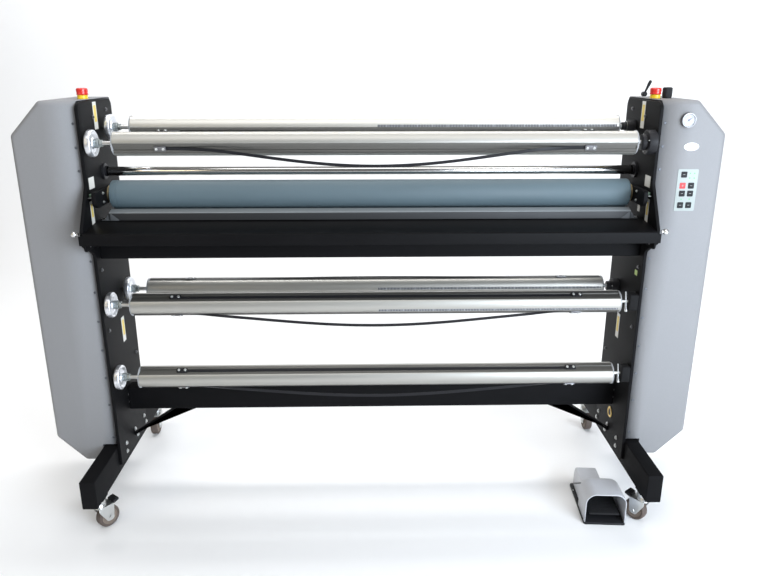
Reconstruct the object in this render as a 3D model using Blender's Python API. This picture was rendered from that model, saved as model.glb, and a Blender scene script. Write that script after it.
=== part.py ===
"""Wide-format cold roll laminator: two upright housings on castors, rubber nip rollers and five film shafts.

Metres, +Z up. X runs across the machine, -Y faces the operator, and the origin is on the floor,
midway between the housings and midway along the foot bars.
"""

import math

import bmesh
import bpy
from mathutils import Matrix, Vector

# --- Driving dimensions (metres) -------------------------------------------------------------
GAP = 0.0003  # air left between pieces that touch
RUNNING = 0.0003  # radial clearance of a turning pin in its bore
FUSE = 0.001  # overlap of two shapes that are joined into one

MACHINE_WIDTH = 2.200
MACHINE_HEIGHT = 1.382  # floor to the top of the housings
WORKING_WIDTH = 1.754  # between the inner faces of the side plates
FOOT_LENGTH = 0.810

HOUSING_FRONT = -0.1725
HOUSING_DEPTH = 0.300
HOUSING_SHEET = 0.002
HOUSING_ABOVE_FOOT = 0.039  # from the foot bar's underside to the housing's lowest edge
HOUSING_GAP = 0.002  # between a side plate and its housing
HOUSING_TOP_CORNER = (0.096, 0.102)  # width and height of the sloping upper corner
HOUSING_LOW_CORNER = 0.093
HOUSING_EDGE = 0.016  # rounding of the sheet's front and back edges

PLATE_THICK = 0.010
PLATE_PROUD = 0.015  # how far the side plates stand out of the housings' front
PLATE_DEPTH = 0.290
PLATE_CORNER = 0.025
PLATE_BELOW_TOP = 0.004
PLATE_ABOVE_FOOT = 0.015  # from the foot bar's underside to the plate's

NOSE_REACH = 0.080  # how far the plates' noses carry the table forward
NOSE_TOP = 1.130
NOSE_BOTTOM = 0.910

FOOT_WIDTH = 0.050
FOOT_HEIGHT = 0.099
FOOT_CLEAR = 0.0047  # air between a foot bar and the notch in its housing

SHAFT_FRONT = -0.1675
SHAFT_REAR = 0.0125
# name: (y, z, angle of the first flat above the horizontal at the front, sag of the hanging strip)
SHAFTS = {
    "upper_front": (SHAFT_FRONT, MACHINE_HEIGHT - 0.126, -22, 0.062),
    "upper_rear": (SHAFT_REAR, MACHINE_HEIGHT - 0.092, -25, 0.026),
    "middle_front": (SHAFT_FRONT, 0.735, -60, 0.044),
    "middle_rear": (SHAFT_REAR + 0.005, 0.732, 88, 0.007),
    "lower_front": (SHAFT_FRONT, 0.476, -60, 0.040),
}
TUBE_RADIUS = 0.038
TUBE_FROM_LEFT = 0.091  # from the left plate to the tube, where the tension wheel sits
TUBE_FROM_RIGHT = 0.060
TUBE_FLAT_HALF_ANGLE = 28
TUBE_GROOVE_WIDTH = 0.012
TUBE_GROOVE_DEPTH = 0.0030
SPINDLE_RADIUS = 0.007
SPINDLE_INSET = 0.0015  # from the left plate's outer face to the spindle's end
SPINDLE_SHORT = 0.004  # from the right plate's inner face to the other end
STRIP_END = 0.1365  # from the tube's end to the strip's
STRIP_WIDTH = 0.010
STRIP_THICK = 0.0020
STRIP_CLEAR = 0.013  # how far a strip stands straight out of its groove before it hangs down

WHEEL_RADIUS = 0.0415
WHEEL_THICK = 0.020
WHEEL_STANDOFF = 0.012  # air between a tension wheel and the left plate
WHEEL_HUB_RADIUS = 0.014
WHEEL_HUB_LENGTH = 0.028
WHEEL_LOBES = 10
WHEEL_LOBE_DEPTH = 0.003
WHEEL_EDGE = 0.005  # chamfer of the rim

# name: (radius, length) of a round holder; the other two are latching blocks
ROUND_HOLDERS = {"upper_front": (0.0375, 0.042), "upper_rear": (0.020, 0.045), "middle_rear": (0.026, 0.040)}
HOLDER_NECK = 0.015  # length of a round holder's narrower nose
BLOCK_SIZE = (0.028, 0.040, 0.058)
BLOCK_CORNER = 0.008

ROLLER_RADIUS = 0.0445
ROLLER_END_GAP = 0.042  # from the side plate to the rubber's end
ROLLER_JOURNAL = 0.012
ROLLER_Y = -0.0875
UPPER_ROLLER_Z = 1.086
JOURNAL_SHORT = 0.003  # how far a journal stops short of its plate's outer face
NIP_OPEN = 0.0010

ARM_THICK = 0.013
ARM_INSET = 0.018  # from the side plate to the arm
ARM_HEIGHT = 0.050
ARM_FRONT = -0.213
ARM_REAR = 0.020

IDLER_RADIUS = 0.015
IDLER_JOURNAL = 0.008
IDLER_Y = -0.0325
IDLER_ABOVE_ROLLER = 0.066
IDLER_END_GAP = 0.017

FRONT_BEAM_Y = (-0.1535, -0.1035)
FRONT_BEAM_HEIGHT = 0.058
FRONT_BEAM_CLEAR = 0.0065  # under the lower roller
LOWER_BEAM_Y = (-0.0575, -0.0075)
LOWER_BEAM_Z = (0.300, 0.385)
BRACE_THICK = 0.007
BRACE_WIDTH = 0.030
BRACE_REACH = 0.161  # from the side plate to the start of the brace's flat end
BRACE_DROP = 0.114
BRACE_FLAT = 0.089

TABLE_FRONT = -0.2775
TABLE_FRONT_Z = 0.996
TABLE_TO_ROLLER = 0.0025  # from the table's rear edge to the lower roller's front
TABLE_REAR_Z = 1.011
TABLE_SHEET = 0.004
TABLE_LIP = 0.036
TABLE_LIP_REACH = 0.0115  # how far the lip runs past the side plates' inner faces
TABLE_PIVOT = (-0.2275, 0.950)
TABLE_PIN_RADIUS = 0.006
TABLE_CHEEK_THICK = 0.006
TABLE_CHEEK_SHORT = 0.010  # from a cheek's rear corner to the table's rear edge
GUIDE_BAR_END_GAP = 0.041
GUIDE_BAR_FOOT = 0.009
GUIDE_BAR_HEIGHT = 0.0235
GUIDE_BAR_DEPTH = 0.013
GUIDE_BAR_FLANGE = 0.014
GUIDE_BAR_RISE = 0.009  # from the bar's front edge up to the flange's rear edge
GUIDE_BAR_SHEET = 0.003
GUIDE_BAR_FOOT_SHEET = 0.002

KNOB_RADIUS = 0.0095
KNOB_STEM = 0.0035
KNOB_LENGTH = 0.022

CASTOR_FROM_END = 0.070  # from the foot bar's end to the swivel axis
CASTOR_WHEEL_RADIUS = 0.0375
CASTOR_WHEEL_WIDTH = 0.028
CASTOR_TRAIL = 0.025
CASTOR_AXLE = 0.005
CASTOR_LEG = 0.003
CASTOR_AHEAD = 0.012  # how far the crown plate reaches in front of the swivel axis
CASTOR_BEHIND = 0.016  # and behind the axle
CASTOR_LEG_TOE = (0.011, 0.012)  # half width of a leg's foot, and its reach under the axle
CASTOR_CROWN_SHEET = 0.003
CASTOR_CROWN_CONE = 0.008  # height of the cone between the legs and the disc
CASTOR_NUT = 0.003
CASTOR_TREAD_EDGE = 0.006
CASTOR_LEG_GAP = 0.0025
CASTOR_PLATE = 0.004
CASTOR_SWIVEL = 0.035  # from the fork's crown to the underside of the foot bar's plate
CASTOR_DISC = 0.023
CASTOR_PEDAL = 0.021  # length of a front castor's brake pedal
CASTOR_HEADROOM = 0.006  # from the top of the wheel to the underside of the fork's crown
FRONT_CASTOR_TURN = 38  # degrees that the front castors' trail turns inwards from straight back

STOP_IN = 0.020  # from the housing's open edge, as for every control below
STOP_Y = -0.0525
STOP_BASE_RADIUS = 0.0165
STOP_BASE_HEIGHT = 0.012
STOP_HEAD_RADIUS = 0.0175
STOP_HEAD_HEIGHT = 0.021
STOP_TRAVEL = 0.004
REGULATOR_IN = 0.062
REGULATOR_Y = -0.0425
REGULATOR_RADIUS = 0.0155
REGULATOR_HEIGHT = 0.034
VALVE_IN = 0.029
VALVE_Y = 0.0675
VALVE_PIVOT_Z = 0.009  # above the housing's top
VALVE_LEVER_LENGTH = 0.048
VALVE_LEAN = 23
VALVE_HUB = (0.008, 0.009)  # radius and half length
VALVE_BLADE = (0.004, 0.0055, 0.005)  # half width at the hub and at the tip, and half thickness

GAUGE_IN = 0.082
GAUGE_DOWN = 0.059  # from the housing's top
GAUGE_RADIUS = 0.0230
GAUGE_DEPTH = 0.012
GAUGE_DIAL_DEPTH = 0.004
NEEDLE_LENGTH = 0.014
NEEDLE_ANGLE = 40  # up and to the right

KEYPAD_IN = (0.072, 0.137)
KEYPAD_DOWN = (0.342, 0.209)
KEYPAD_THICK = 0.0015

MOTOR_BOX = (0.066, 0.096, 0.110)
MOTOR_RADIUS = 0.040
MOTOR_LENGTH = 0.150
MOTOR_BEHIND = 0.0115  # from the lower roller's axis back to the gearbox's middle

PEDAL_ASIDE = 0.0623  # from the front castor's swivel axis to the base plate
PEDAL_AHEAD = 0.0205  # of that axis
PEDAL_TURN = -4.0
PEDAL_WIDTH = 0.140
PEDAL_LENGTH = 0.237
PEDAL_BASE = 0.008
PEDAL_HEIGHT = 0.115
PEDAL_SHEET = 0.0025
PEDAL_RIM = 0.006  # how far the base plate shows outside the hood
PEDAL_HOOD_LENGTH = 0.125
PEDAL_TAIL_X = (-0.060, 0.014)
PEDAL_TAIL_TOP = 0.092
PEDAL_ARCH = 0.040  # corner radius of the hood's arch
TREADLE_WIDTH = 0.100
TREADLE_LENGTH = 0.096
TREADLE_THICK = 0.008
TREADLE_PIVOT_Z = 0.042
TREADLE_SLOPE = 5
TREADLE_FROM_BACK = 0.016  # from the hood's back wall to the pivot
TREADLE_HEEL = 0.006  # behind the pivot

# --- Values worked out from the driving dimensions -------------------------------------------
PLATE_IN = WORKING_WIDTH / 2
PLATE_OUT = PLATE_IN + PLATE_THICK
PLATE_FRONT = HOUSING_FRONT - PLATE_PROUD
HOUSING_IN = PLATE_OUT + HOUSING_GAP
HOUSING_OUT = MACHINE_WIDTH / 2
FOOT_IN = PLATE_OUT + GAP
FOOT_OUT = FOOT_IN + FOOT_WIDTH
FOOT_BOTTOM = 2 * CASTOR_WHEEL_RADIUS + CASTOR_HEADROOM + CASTOR_SWIVEL + CASTOR_PLATE
FOOT_TOP = FOOT_BOTTOM + FOOT_HEIGHT
PLATE_BOTTOM = FOOT_BOTTOM + PLATE_ABOVE_FOOT
HOUSING_BOTTOM = FOOT_BOTTOM + HOUSING_ABOVE_FOOT
CASTOR_X = (FOOT_IN + FOOT_OUT) / 2
CASTOR_Y = FOOT_LENGTH / 2 - CASTOR_FROM_END
LOWER_ROLLER_Z = UPPER_ROLLER_Z - 2 * ROLLER_RADIUS - NIP_OPEN
ROLLER_HALF = PLATE_IN - ROLLER_END_GAP
ARM_TOP = UPPER_ROLLER_Z + ARM_HEIGHT / 2
IDLER_Z = UPPER_ROLLER_Z + IDLER_ABOVE_ROLLER
IDLER_HALF = PLATE_IN - IDLER_END_GAP
FRONT_BEAM_TOP = LOWER_ROLLER_Z - ROLLER_RADIUS - FRONT_BEAM_CLEAR
TUBE_LEFT = TUBE_FROM_LEFT - PLATE_IN
TUBE_RIGHT = PLATE_IN - TUBE_FROM_RIGHT
TABLE_REAR = ROLLER_Y - ROLLER_RADIUS - TABLE_TO_ROLLER
GUIDE_BAR_FRONT = TABLE_REAR - GUIDE_BAR_DEPTH
GUIDE_BAR_HALF = PLATE_IN - GUIDE_BAR_END_GAP
STOP_X = HOUSING_IN + STOP_IN
REGULATOR_X = HOUSING_IN + REGULATOR_IN
VALVE_X = HOUSING_IN + VALVE_IN
GAUGE_X = HOUSING_IN + GAUGE_IN
GAUGE_Z = MACHINE_HEIGHT - GAUGE_DOWN
KEYPAD_X = tuple(HOUSING_IN + inset for inset in KEYPAD_IN)
KEYPAD_Z = tuple(MACHINE_HEIGHT - down for down in KEYPAD_DOWN)
PEDAL_X = CASTOR_X - PEDAL_ASIDE - PEDAL_WIDTH / 2
PEDAL_FRONT = -CASTOR_Y - PEDAL_AHEAD
FLAT_DISTANCE = TUBE_RADIUS * math.cos(math.radians(TUBE_FLAT_HALF_ANGLE))
SPAN = PLATE_IN - GAP  # half of a piece that fits between the side plates
ROUND_STEPS = 24

COLOURS = {
    "silver_powder": ((0.58, 0.59, 0.62), 0.45, 0.35),
    "black_powder": ((0.030, 0.030, 0.033), 0.50, 0.0),
    "roller_rubber": ((0.16, 0.21, 0.235), 0.60, 0.0),
    "shaft_aluminium": ((0.80, 0.80, 0.79), 0.28, 1.0),
    "chrome": ((0.75, 0.74, 0.72), 0.08, 1.0),
    "wheel_metal": ((0.80, 0.82, 0.86), 0.35, 0.6),
    "black_plastic": ((0.020, 0.020, 0.022), 0.45, 0.0),
    "red_plastic": ((0.70, 0.03, 0.02), 0.30, 0.0),
    "yellow_plastic": ((0.85, 0.60, 0.03), 0.40, 0.0),
    "zinc": ((0.62, 0.64, 0.65), 0.30, 1.0),
    "castor_tread": ((0.13, 0.09, 0.07), 0.60, 0.0),
    "strip_plastic": ((0.015, 0.015, 0.018), 0.40, 0.0),
    "keypad_film": ((0.72, 0.78, 0.72), 0.40, 0.0),
    "pedal_silver": ((0.72, 0.74, 0.78), 0.35, 0.3),
    "steel": ((0.55, 0.55, 0.54), 0.30, 1.0),
    "motor_grey": ((0.25, 0.26, 0.28), 0.50, 0.2),
}


# --- Making and placing shapes ---------------------------------------------------------------
def material(slot):
    """The Principled material of a slot, made the first time it is asked for."""
    found = bpy.data.materials.get(slot)
    if found:
        return found
    made = bpy.data.materials.new(slot)
    made.use_nodes = True
    colour, roughness, metallic = COLOURS[slot]
    shader = made.node_tree.nodes["Principled BSDF"]
    shader.inputs["Base Color"].default_value = (*colour, 1.0)
    shader.inputs["Roughness"].default_value = roughness
    shader.inputs["Metallic"].default_value = metallic
    made.diffuse_color = (*colour, 1.0)
    return made


def add(name, bm, slot, at=(0, 0, 0), smooth=False, parent=None):
    """Turns a bmesh into an object with its origin at `at`."""
    bmesh.ops.recalc_face_normals(bm, faces=bm.faces)
    mesh = bpy.data.meshes.new(name)
    bm.to_mesh(mesh)
    bm.free()
    if smooth:
        mesh.shade_smooth()
        mesh.set_sharp_from_angle(angle=math.radians(35))
    mesh.materials.append(material(slot))
    obj = bpy.data.objects.new(name, mesh)
    obj.location = at
    obj.parent = parent
    bpy.context.scene.collection.objects.link(obj)
    return obj


def helper(obj):
    """Marks an object as a Boolean helper, which isn't a part."""
    obj.hide_render = True
    obj.display_type = "WIRE"
    return obj


def boolean(obj, other, operation):
    modifier = obj.modifiers.new(operation.title(), "BOOLEAN")
    modifier.operation = operation
    modifier.object = helper(other)


def prism(outline, axis, low, high, bm=None):
    """A flat outline pushed along an axis: (y, z) points along X, or (x, z) along Y, or (x, y) along Z."""
    bm = bm or bmesh.new()
    place = {
        "X": lambda p: (low, p[0], p[1]),
        "Y": lambda p: (p[0], low, p[1]),
        "Z": lambda p: (p[0], p[1], low),
    }[axis]
    face = bm.faces.new([bm.verts.new(place(point)) for point in outline])
    moved = bmesh.ops.extrude_face_region(bm, geom=[face])["geom"]
    direction = Vector([high - low if letter == axis else 0 for letter in "XYZ"])
    bmesh.ops.translate(bm, vec=direction, verts=[v for v in moved if isinstance(v, bmesh.types.BMVert)])
    return bm


def box(x, y, z, bm=None):
    """A block between two limits on each axis."""
    return prism([(x[0], y[0]), (x[1], y[0]), (x[1], y[1]), (x[0], y[1])], "Z", z[0], z[1], bm)


def rounded(points, radii, steps=4):
    """An outline with each corner replaced by an arc of its own radius."""
    outline = []
    count = len(points)
    for index, radius in enumerate(radii):
        corner = Vector(points[index])
        before = (Vector(points[index - 1]) - corner).normalized()
        after = (Vector(points[(index + 1) % count]) - corner).normalized()
        half = before.angle(after) / 2
        if radius == 0:
            outline.append(tuple(corner))
            continue
        centre = corner + (before + after).normalized() * radius / math.sin(half)
        first = corner + before * radius / math.tan(half) - centre
        last = corner + after * radius / math.tan(half) - centre
        sweep = math.atan2(first.x * last.y - first.y * last.x, first.dot(last))
        for step in range(steps + 1):
            turn = Matrix.Rotation(sweep * step / steps, 2)
            outline.append(tuple(centre + turn @ first))
    return outline


def turned(profile, axis="X", steps=ROUND_STEPS):
    """A profile of (along, radius) points spun round an axis: a bar from the axis to the axis, else a ring."""
    bm = bmesh.new()
    place = {"X": lambda a, r: (a, 0, r), "Y": lambda a, r: (r, a, 0), "Z": lambda a, r: (r, 0, a)}[axis]
    verts = [bm.verts.new(place(along, radius)) for along, radius in profile]
    edges = [bm.edges.new(pair) for pair in zip(verts, verts[1:])]
    if profile[0][1] > 0:
        edges.append(bm.edges.new((verts[-1], verts[0])))
    direction = [float(letter == axis) for letter in "XYZ"]
    bmesh.ops.spin(
        bm, geom=verts + edges, cent=(0, 0, 0), axis=direction, angle=math.tau, steps=steps, use_merge=True
    )
    bmesh.ops.remove_doubles(bm, verts=bm.verts, dist=1e-6)
    return bm


def rod(radius, low, high, axis="X", steps=16):
    """A plain bar."""
    return turned([(low, 0), (low, radius), (high, radius), (high, 0)], axis, steps)


def bored(obj, name, centre, radius, low, high, axis="X"):
    """Drills one round hole through an object that sits at the origin."""
    cutter = add(name, rod(radius, low, high, axis), "steel", centre)
    boolean(obj, cutter, "DIFFERENCE")


def bevelled(obj, width, segments=2, angle=40):
    modifier = obj.modifiers.new("Bevel", "BEVEL")
    modifier.width = width
    modifier.segments = segments
    modifier.limit_method = "ANGLE"
    modifier.angle_limit = math.radians(angle)
    return obj


def sides():
    """(name, sign) of the left and the right side."""
    return (("left", -1), ("right", 1))


def span(sign, inner, outer):
    """The X limits of something between two distances from the middle, in rising order."""
    return (inner, outer) if sign > 0 else (-outer, -inner)


# --- Frame and covers ------------------------------------------------------------------------
def side_plate(side, sign):
    """The upright plate, with the nose that carries the table, bored for the rollers and spindles."""
    rear = PLATE_FRONT + PLATE_DEPTH
    nose = PLATE_FRONT - NOSE_REACH
    top = MACHINE_HEIGHT - PLATE_BELOW_TOP
    pivot_y, pivot_z = TABLE_PIVOT
    points = [
        (PLATE_FRONT, PLATE_BOTTOM),
        (rear, PLATE_BOTTOM),
        (rear, top),
        (PLATE_FRONT, top),
        (PLATE_FRONT, NOSE_TOP),
        (nose, TABLE_FRONT_Z + 0.004),
        (nose, pivot_z + TABLE_PIN_RADIUS),
        (pivot_y - 0.4 * TABLE_PIN_RADIUS, pivot_z - 2.5 * TABLE_PIN_RADIUS),
        (PLATE_FRONT, NOSE_BOTTOM),
    ]
    radii = [0, 0, PLATE_CORNER, PLATE_CORNER, 0.02, 0.008, 0.012, 0.010, 0.02]
    low, high = span(sign, PLATE_IN, PLATE_OUT)
    plate = add(f"side_plate_{side}", prism(rounded(points, radii), "X", low, high), "black_powder")
    holes = [
        ("roller_hole", ROLLER_Y, LOWER_ROLLER_Z, ROLLER_JOURNAL),
        ("idler_hole", IDLER_Y, IDLER_Z, IDLER_JOURNAL),
        ("pivot_hole", pivot_y, pivot_z, TABLE_PIN_RADIUS),
    ]
    if sign < 0:
        holes += [(f"spindle_hole_{name}", y, z, SPINDLE_RADIUS) for name, (y, z, _, _) in SHAFTS.items()]
    past = PLATE_THICK
    for name, y, z, radius in holes:
        bored(plate, f"{name}_{side}", (0, y, z), radius + RUNNING, low - past, high + past)


def housing(side, sign):
    """The silver sheet cover: a shell that is open towards its side plate."""
    inner, outer = HOUSING_IN, HOUSING_OUT
    notch_top = FOOT_TOP + FOOT_CLEAR
    notch_out = FOOT_OUT + FOOT_CLEAR
    wide, tall = HOUSING_TOP_CORNER
    outline = [
        (inner, MACHINE_HEIGHT),
        (inner, notch_top),
        (notch_out, notch_top),
        (notch_out, HOUSING_BOTTOM),
        (outer - HOUSING_LOW_CORNER, HOUSING_BOTTOM),
        (outer, HOUSING_BOTTOM + HOUSING_LOW_CORNER),
        (outer, MACHINE_HEIGHT - tall),
        (outer - wide, MACHINE_HEIGHT),
    ]
    rear = HOUSING_FRONT + HOUSING_DEPTH
    bm = prism([(sign * x, z) for x, z in outline], "Y", HOUSING_FRONT, rear)
    mouth = [f for f in bm.faces if all(abs(abs(v.co.x) - inner) < 1e-6 for v in f.verts)]
    bmesh.ops.delete(bm, geom=mouth, context="FACES_ONLY")
    rims = [
        e
        for e in bm.edges
        if abs(e.verts[0].co.y - e.verts[1].co.y) < 1e-6
        and len(e.link_faces) == 2
        and max(abs(v.co.x) for v in e.verts) > notch_out + 1e-6
    ]
    folds = [
        e
        for e in bm.edges
        if abs(e.verts[0].co.y - e.verts[1].co.y) > 1e-3
        and len(e.link_faces) == 2
        and abs(e.verts[0].co.x) > notch_out + 1e-6
    ]
    bmesh.ops.bevel(
        bm, geom=rims + folds, offset=HOUSING_EDGE, segments=3, profile=0.5, affect="EDGES", clamp_overlap=True
    )
    shell = add(f"housing_{side}", bm, "silver_powder", smooth=True)
    solidify = shell.modifiers.new("Sheet", "SOLIDIFY")
    solidify.thickness = HOUSING_SHEET
    solidify.offset = -1
    solidify.use_even_offset = True


def beams():
    """The beam under the table and the lower beam with its two braces."""
    front_beam_z = (FRONT_BEAM_TOP - FRONT_BEAM_HEIGHT, FRONT_BEAM_TOP)
    add("front_beam", box((-SPAN, SPAN), FRONT_BEAM_Y, front_beam_z), "black_powder")
    beam = add("lower_beam", box((-SPAN, SPAN), LOWER_BEAM_Y, LOWER_BEAM_Z), "black_powder")
    top = LOWER_BEAM_Z[0] + FUSE
    under = LOWER_BEAM_Z[0] - BRACE_THICK
    bend = PLATE_IN - BRACE_REACH
    foot = LOWER_BEAM_Z[0] - BRACE_DROP
    middle = sum(LOWER_BEAM_Y) / 2
    for side, sign in sides():
        outline = [
            (bend - BRACE_FLAT, top),
            (bend, top),
            (SPAN, foot + BRACE_THICK),
            (SPAN, foot - BRACE_THICK / 2),
            (bend, under),
            (bend - BRACE_FLAT, under),
        ]
        brace = prism([(sign * x, z) for x, z in outline], "Y", middle - BRACE_WIDTH / 2, middle + BRACE_WIDTH / 2)
        boolean(beam, add(f"brace_{side}", brace, "black_powder"), "UNION")


def foot_bar(side, sign):
    """The bar along the floor, with the mounting plates of its two castors."""
    half = FOOT_LENGTH / 2
    low, high = span(sign, FOOT_IN, FOOT_OUT)
    bar = add(f"foot_bar_{side}", box((low, high), (-half, half), (FOOT_BOTTOM, FOOT_TOP)), "black_powder")
    for where, y in (("front", -CASTOR_Y), ("rear", CASTOR_Y)):
        reach = CASTOR_DISC
        plate = box(
            (low + FUSE, high - FUSE), (y - reach, y + reach), (FOOT_BOTTOM - CASTOR_PLATE, FOOT_BOTTOM + FUSE)
        )
        boolean(bar, add(f"castor_plate_{where}_{side}", plate, "zinc"), "UNION")


# --- Nip and rollers -------------------------------------------------------------------------
def roller(name, radius, half, journal, reach, slot, at):
    """A roller body with a journal at each end."""
    profile = [
        (-reach, 0),
        (-reach, journal),
        (-half, journal),
        (-half, radius),
        (half, radius),
        (half, journal),
        (reach, journal),
        (reach, 0),
    ]
    add(name, turned(profile), slot, at, smooth=True)


def nip():
    """Both rubber rollers, the arms that lift the upper one, and the chrome idler behind them."""
    arm_in = PLATE_IN - ARM_INSET - ARM_THICK
    in_plate = PLATE_OUT - JOURNAL_SHORT
    in_arm = arm_in + ARM_THICK
    lower = (0, ROLLER_Y, LOWER_ROLLER_Z)
    upper = (0, ROLLER_Y, UPPER_ROLLER_Z)
    roller("lower_nip_roller", ROLLER_RADIUS, ROLLER_HALF, ROLLER_JOURNAL, in_plate, "roller_rubber", lower)
    roller("upper_nip_roller", ROLLER_RADIUS, ROLLER_HALF, ROLLER_JOURNAL, in_arm, "roller_rubber", upper)
    roller("idler_roller", IDLER_RADIUS, IDLER_HALF, IDLER_JOURNAL, in_plate, "chrome", (0, IDLER_Y, IDLER_Z))
    bottom = ARM_TOP - ARM_HEIGHT
    outline = rounded(
        [(ARM_FRONT, bottom), (ARM_REAR, bottom), (ARM_REAR, ARM_TOP), (ARM_FRONT, ARM_TOP)],
        [ARM_HEIGHT * 0.45, 0.006, 0.006, ARM_HEIGHT * 0.2],
    )
    for side, sign in sides():
        low, high = span(sign, arm_in, arm_in + ARM_THICK)
        arm = add(f"roller_arm_{side}", prism(outline, "X", low, high), "black_powder")
        bore = ROLLER_JOURNAL + RUNNING
        bored(arm, f"arm_hole_{side}", upper, bore, low - ARM_THICK, high + ARM_THICK)


# --- Film shafts -----------------------------------------------------------------------------
def tube_outline(first_flat):
    """The extrusion's outline: a circle with three flats 120 degrees apart, a groove along each."""
    half = math.radians(TUBE_FLAT_HALF_ANGLE)
    groove = TUBE_GROOVE_WIDTH / 2
    arc_steps = 7
    outline = []
    for index in range(3):
        middle = math.radians(first_flat + 120 * index)
        out = Vector((-math.cos(middle), math.sin(middle)))
        along = Vector((math.sin(middle), math.cos(middle)))
        floor = out * (FLAT_DISTANCE - TUBE_GROOVE_DEPTH)
        lip = out * FLAT_DISTANCE
        outline += [lip - along * groove, floor - along * groove, floor + along * groove, lip + along * groove]
        start = middle + half
        sweep = math.radians(120) - 2 * half
        for step in range(arc_steps + 1):
            angle = start + sweep * step / arc_steps
            outline.append(Vector((-math.cos(angle), math.sin(angle))) * TUBE_RADIUS)
    return [tuple(point) for point in outline]


def film_shaft(name, y, z, flat):
    """The extruded tube on its spindle, with its origin on its own axis."""
    tube = prism(tube_outline(flat), "X", TUBE_LEFT, TUBE_RIGHT)
    shaft = add(f"film_shaft_{name}", tube, "shaft_aluminium", (0, y, z), smooth=True)
    tail = -(PLATE_OUT - SPINDLE_INSET)
    spindle = rod(SPINDLE_RADIUS, tail, PLATE_IN - SPINDLE_SHORT)
    boolean(shaft, add(f"spindle_{name}", spindle, "steel", (0, y, z)), "UNION")


def tension_wheel(name, y, z):
    """The lobed hand wheel and its threaded hub, bored for the spindle."""
    bore = SPINDLE_RADIUS + RUNNING
    left = -PLATE_IN + WHEEL_STANDOFF
    right = left + WHEEL_THICK
    hub_end = right + WHEEL_HUB_LENGTH
    profile = [
        (left, bore),
        (left, WHEEL_RADIUS - WHEEL_EDGE),
        (left + WHEEL_EDGE, WHEEL_RADIUS),
        (right - WHEEL_EDGE, WHEEL_RADIUS),
        (right, WHEEL_RADIUS - WHEEL_EDGE),
        (right, WHEEL_HUB_RADIUS),
        (hub_end, WHEEL_HUB_RADIUS * 0.8),
        (hub_end, bore),
    ]
    bm = turned(profile, steps=WHEEL_LOBES * 3)
    for vert in bm.verts:
        radius = math.hypot(vert.co.y, vert.co.z)
        if radius > WHEEL_RADIUS * 0.8:
            angle = math.atan2(vert.co.z, vert.co.y)
            dip = WHEEL_LOBE_DEPTH / 2 * (1 - math.cos(WHEEL_LOBES * angle)) / radius
            vert.co.yz = vert.co.yz * (1 - dip)
    add(f"tension_wheel_{name}", bm, "wheel_metal", (0, y, z), smooth=True)


def shaft_holder(name, y, z):
    """The socket on the right plate that the spindle's end turns in: a stepped cup, or a latching block."""
    bore = SPINDLE_RADIUS + RUNNING
    if name in ROUND_HOLDERS:
        radius, length = ROUND_HOLDERS[name]
        left = SPAN - length
        nose = max(radius * 0.65, bore + 0.003)
        profile = [
            (left, bore),
            (left, nose - 0.002),
            (left + 0.002, nose),
            (left + HOLDER_NECK, nose),
            (left + HOLDER_NECK, radius - 0.002),
            (left + HOLDER_NECK + 0.002, radius),
            (SPAN, radius),
            (SPAN, bore),
        ]
        add(f"shaft_holder_{name}", turned(profile), "black_plastic", (0, y, z), smooth=True)
        return
    wide, deep, tall = BLOCK_SIZE
    outline = rounded(
        [(y - deep / 2, z - tall / 2), (y + deep / 2, z - tall / 2), (y + deep / 2, z + tall / 2)]
        + [(y - deep / 2, z + tall / 2)],
        [BLOCK_CORNER] * 4,
    )
    block = add(f"shaft_holder_{name}", prism(outline, "X", SPAN - wide, SPAN), "black_plastic")
    bored(block, f"holder_hole_{name}", (0, y, z), bore, SPAN - 2 * wide, SPAN + wide)


def grip_strip(name, y, z, flat, sag):
    """A limp strip held in a groove at both ends: its middle hangs down, or bulges where it lies on top."""
    angle = math.radians(flat)
    out = Vector((0, -math.cos(angle), math.sin(angle)))
    along = Vector((0, math.sin(angle), math.cos(angle)))
    down = Vector((0, 0, -1)) if out.z < 0 else out
    seat = out * (FLAT_DISTANCE - TUBE_GROOVE_DEPTH + GAP)
    middle = (TUBE_LEFT + TUBE_RIGHT) / 2
    length = TUBE_RIGHT - TUBE_LEFT - 2 * STRIP_END
    stations = 22
    bm = bmesh.new()
    rings = []
    for station in range(stations + 1):
        share = station / stations
        offset = sag * math.sin(math.pi * share) ** 1.6
        clear = min(offset, STRIP_CLEAR)
        centre = Vector((middle + (share - 0.5) * length, 0, 0)) + seat
        centre += out * clear + down * (offset - clear)
        half = along * STRIP_WIDTH / 2
        up = out * STRIP_THICK
        rings.append([bm.verts.new(centre + p) for p in (-half, half, half + up, up - half)])
    for one, two in zip(rings, rings[1:]):
        for side in range(4):
            nxt = (side + 1) % 4
            bm.faces.new((one[side], one[nxt], two[nxt], two[side]))
    bm.faces.new(rings[0])
    bm.faces.new(rings[-1])
    add(f"grip_strip_{name}", bm, "strip_plastic", (0, y, z))


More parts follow.
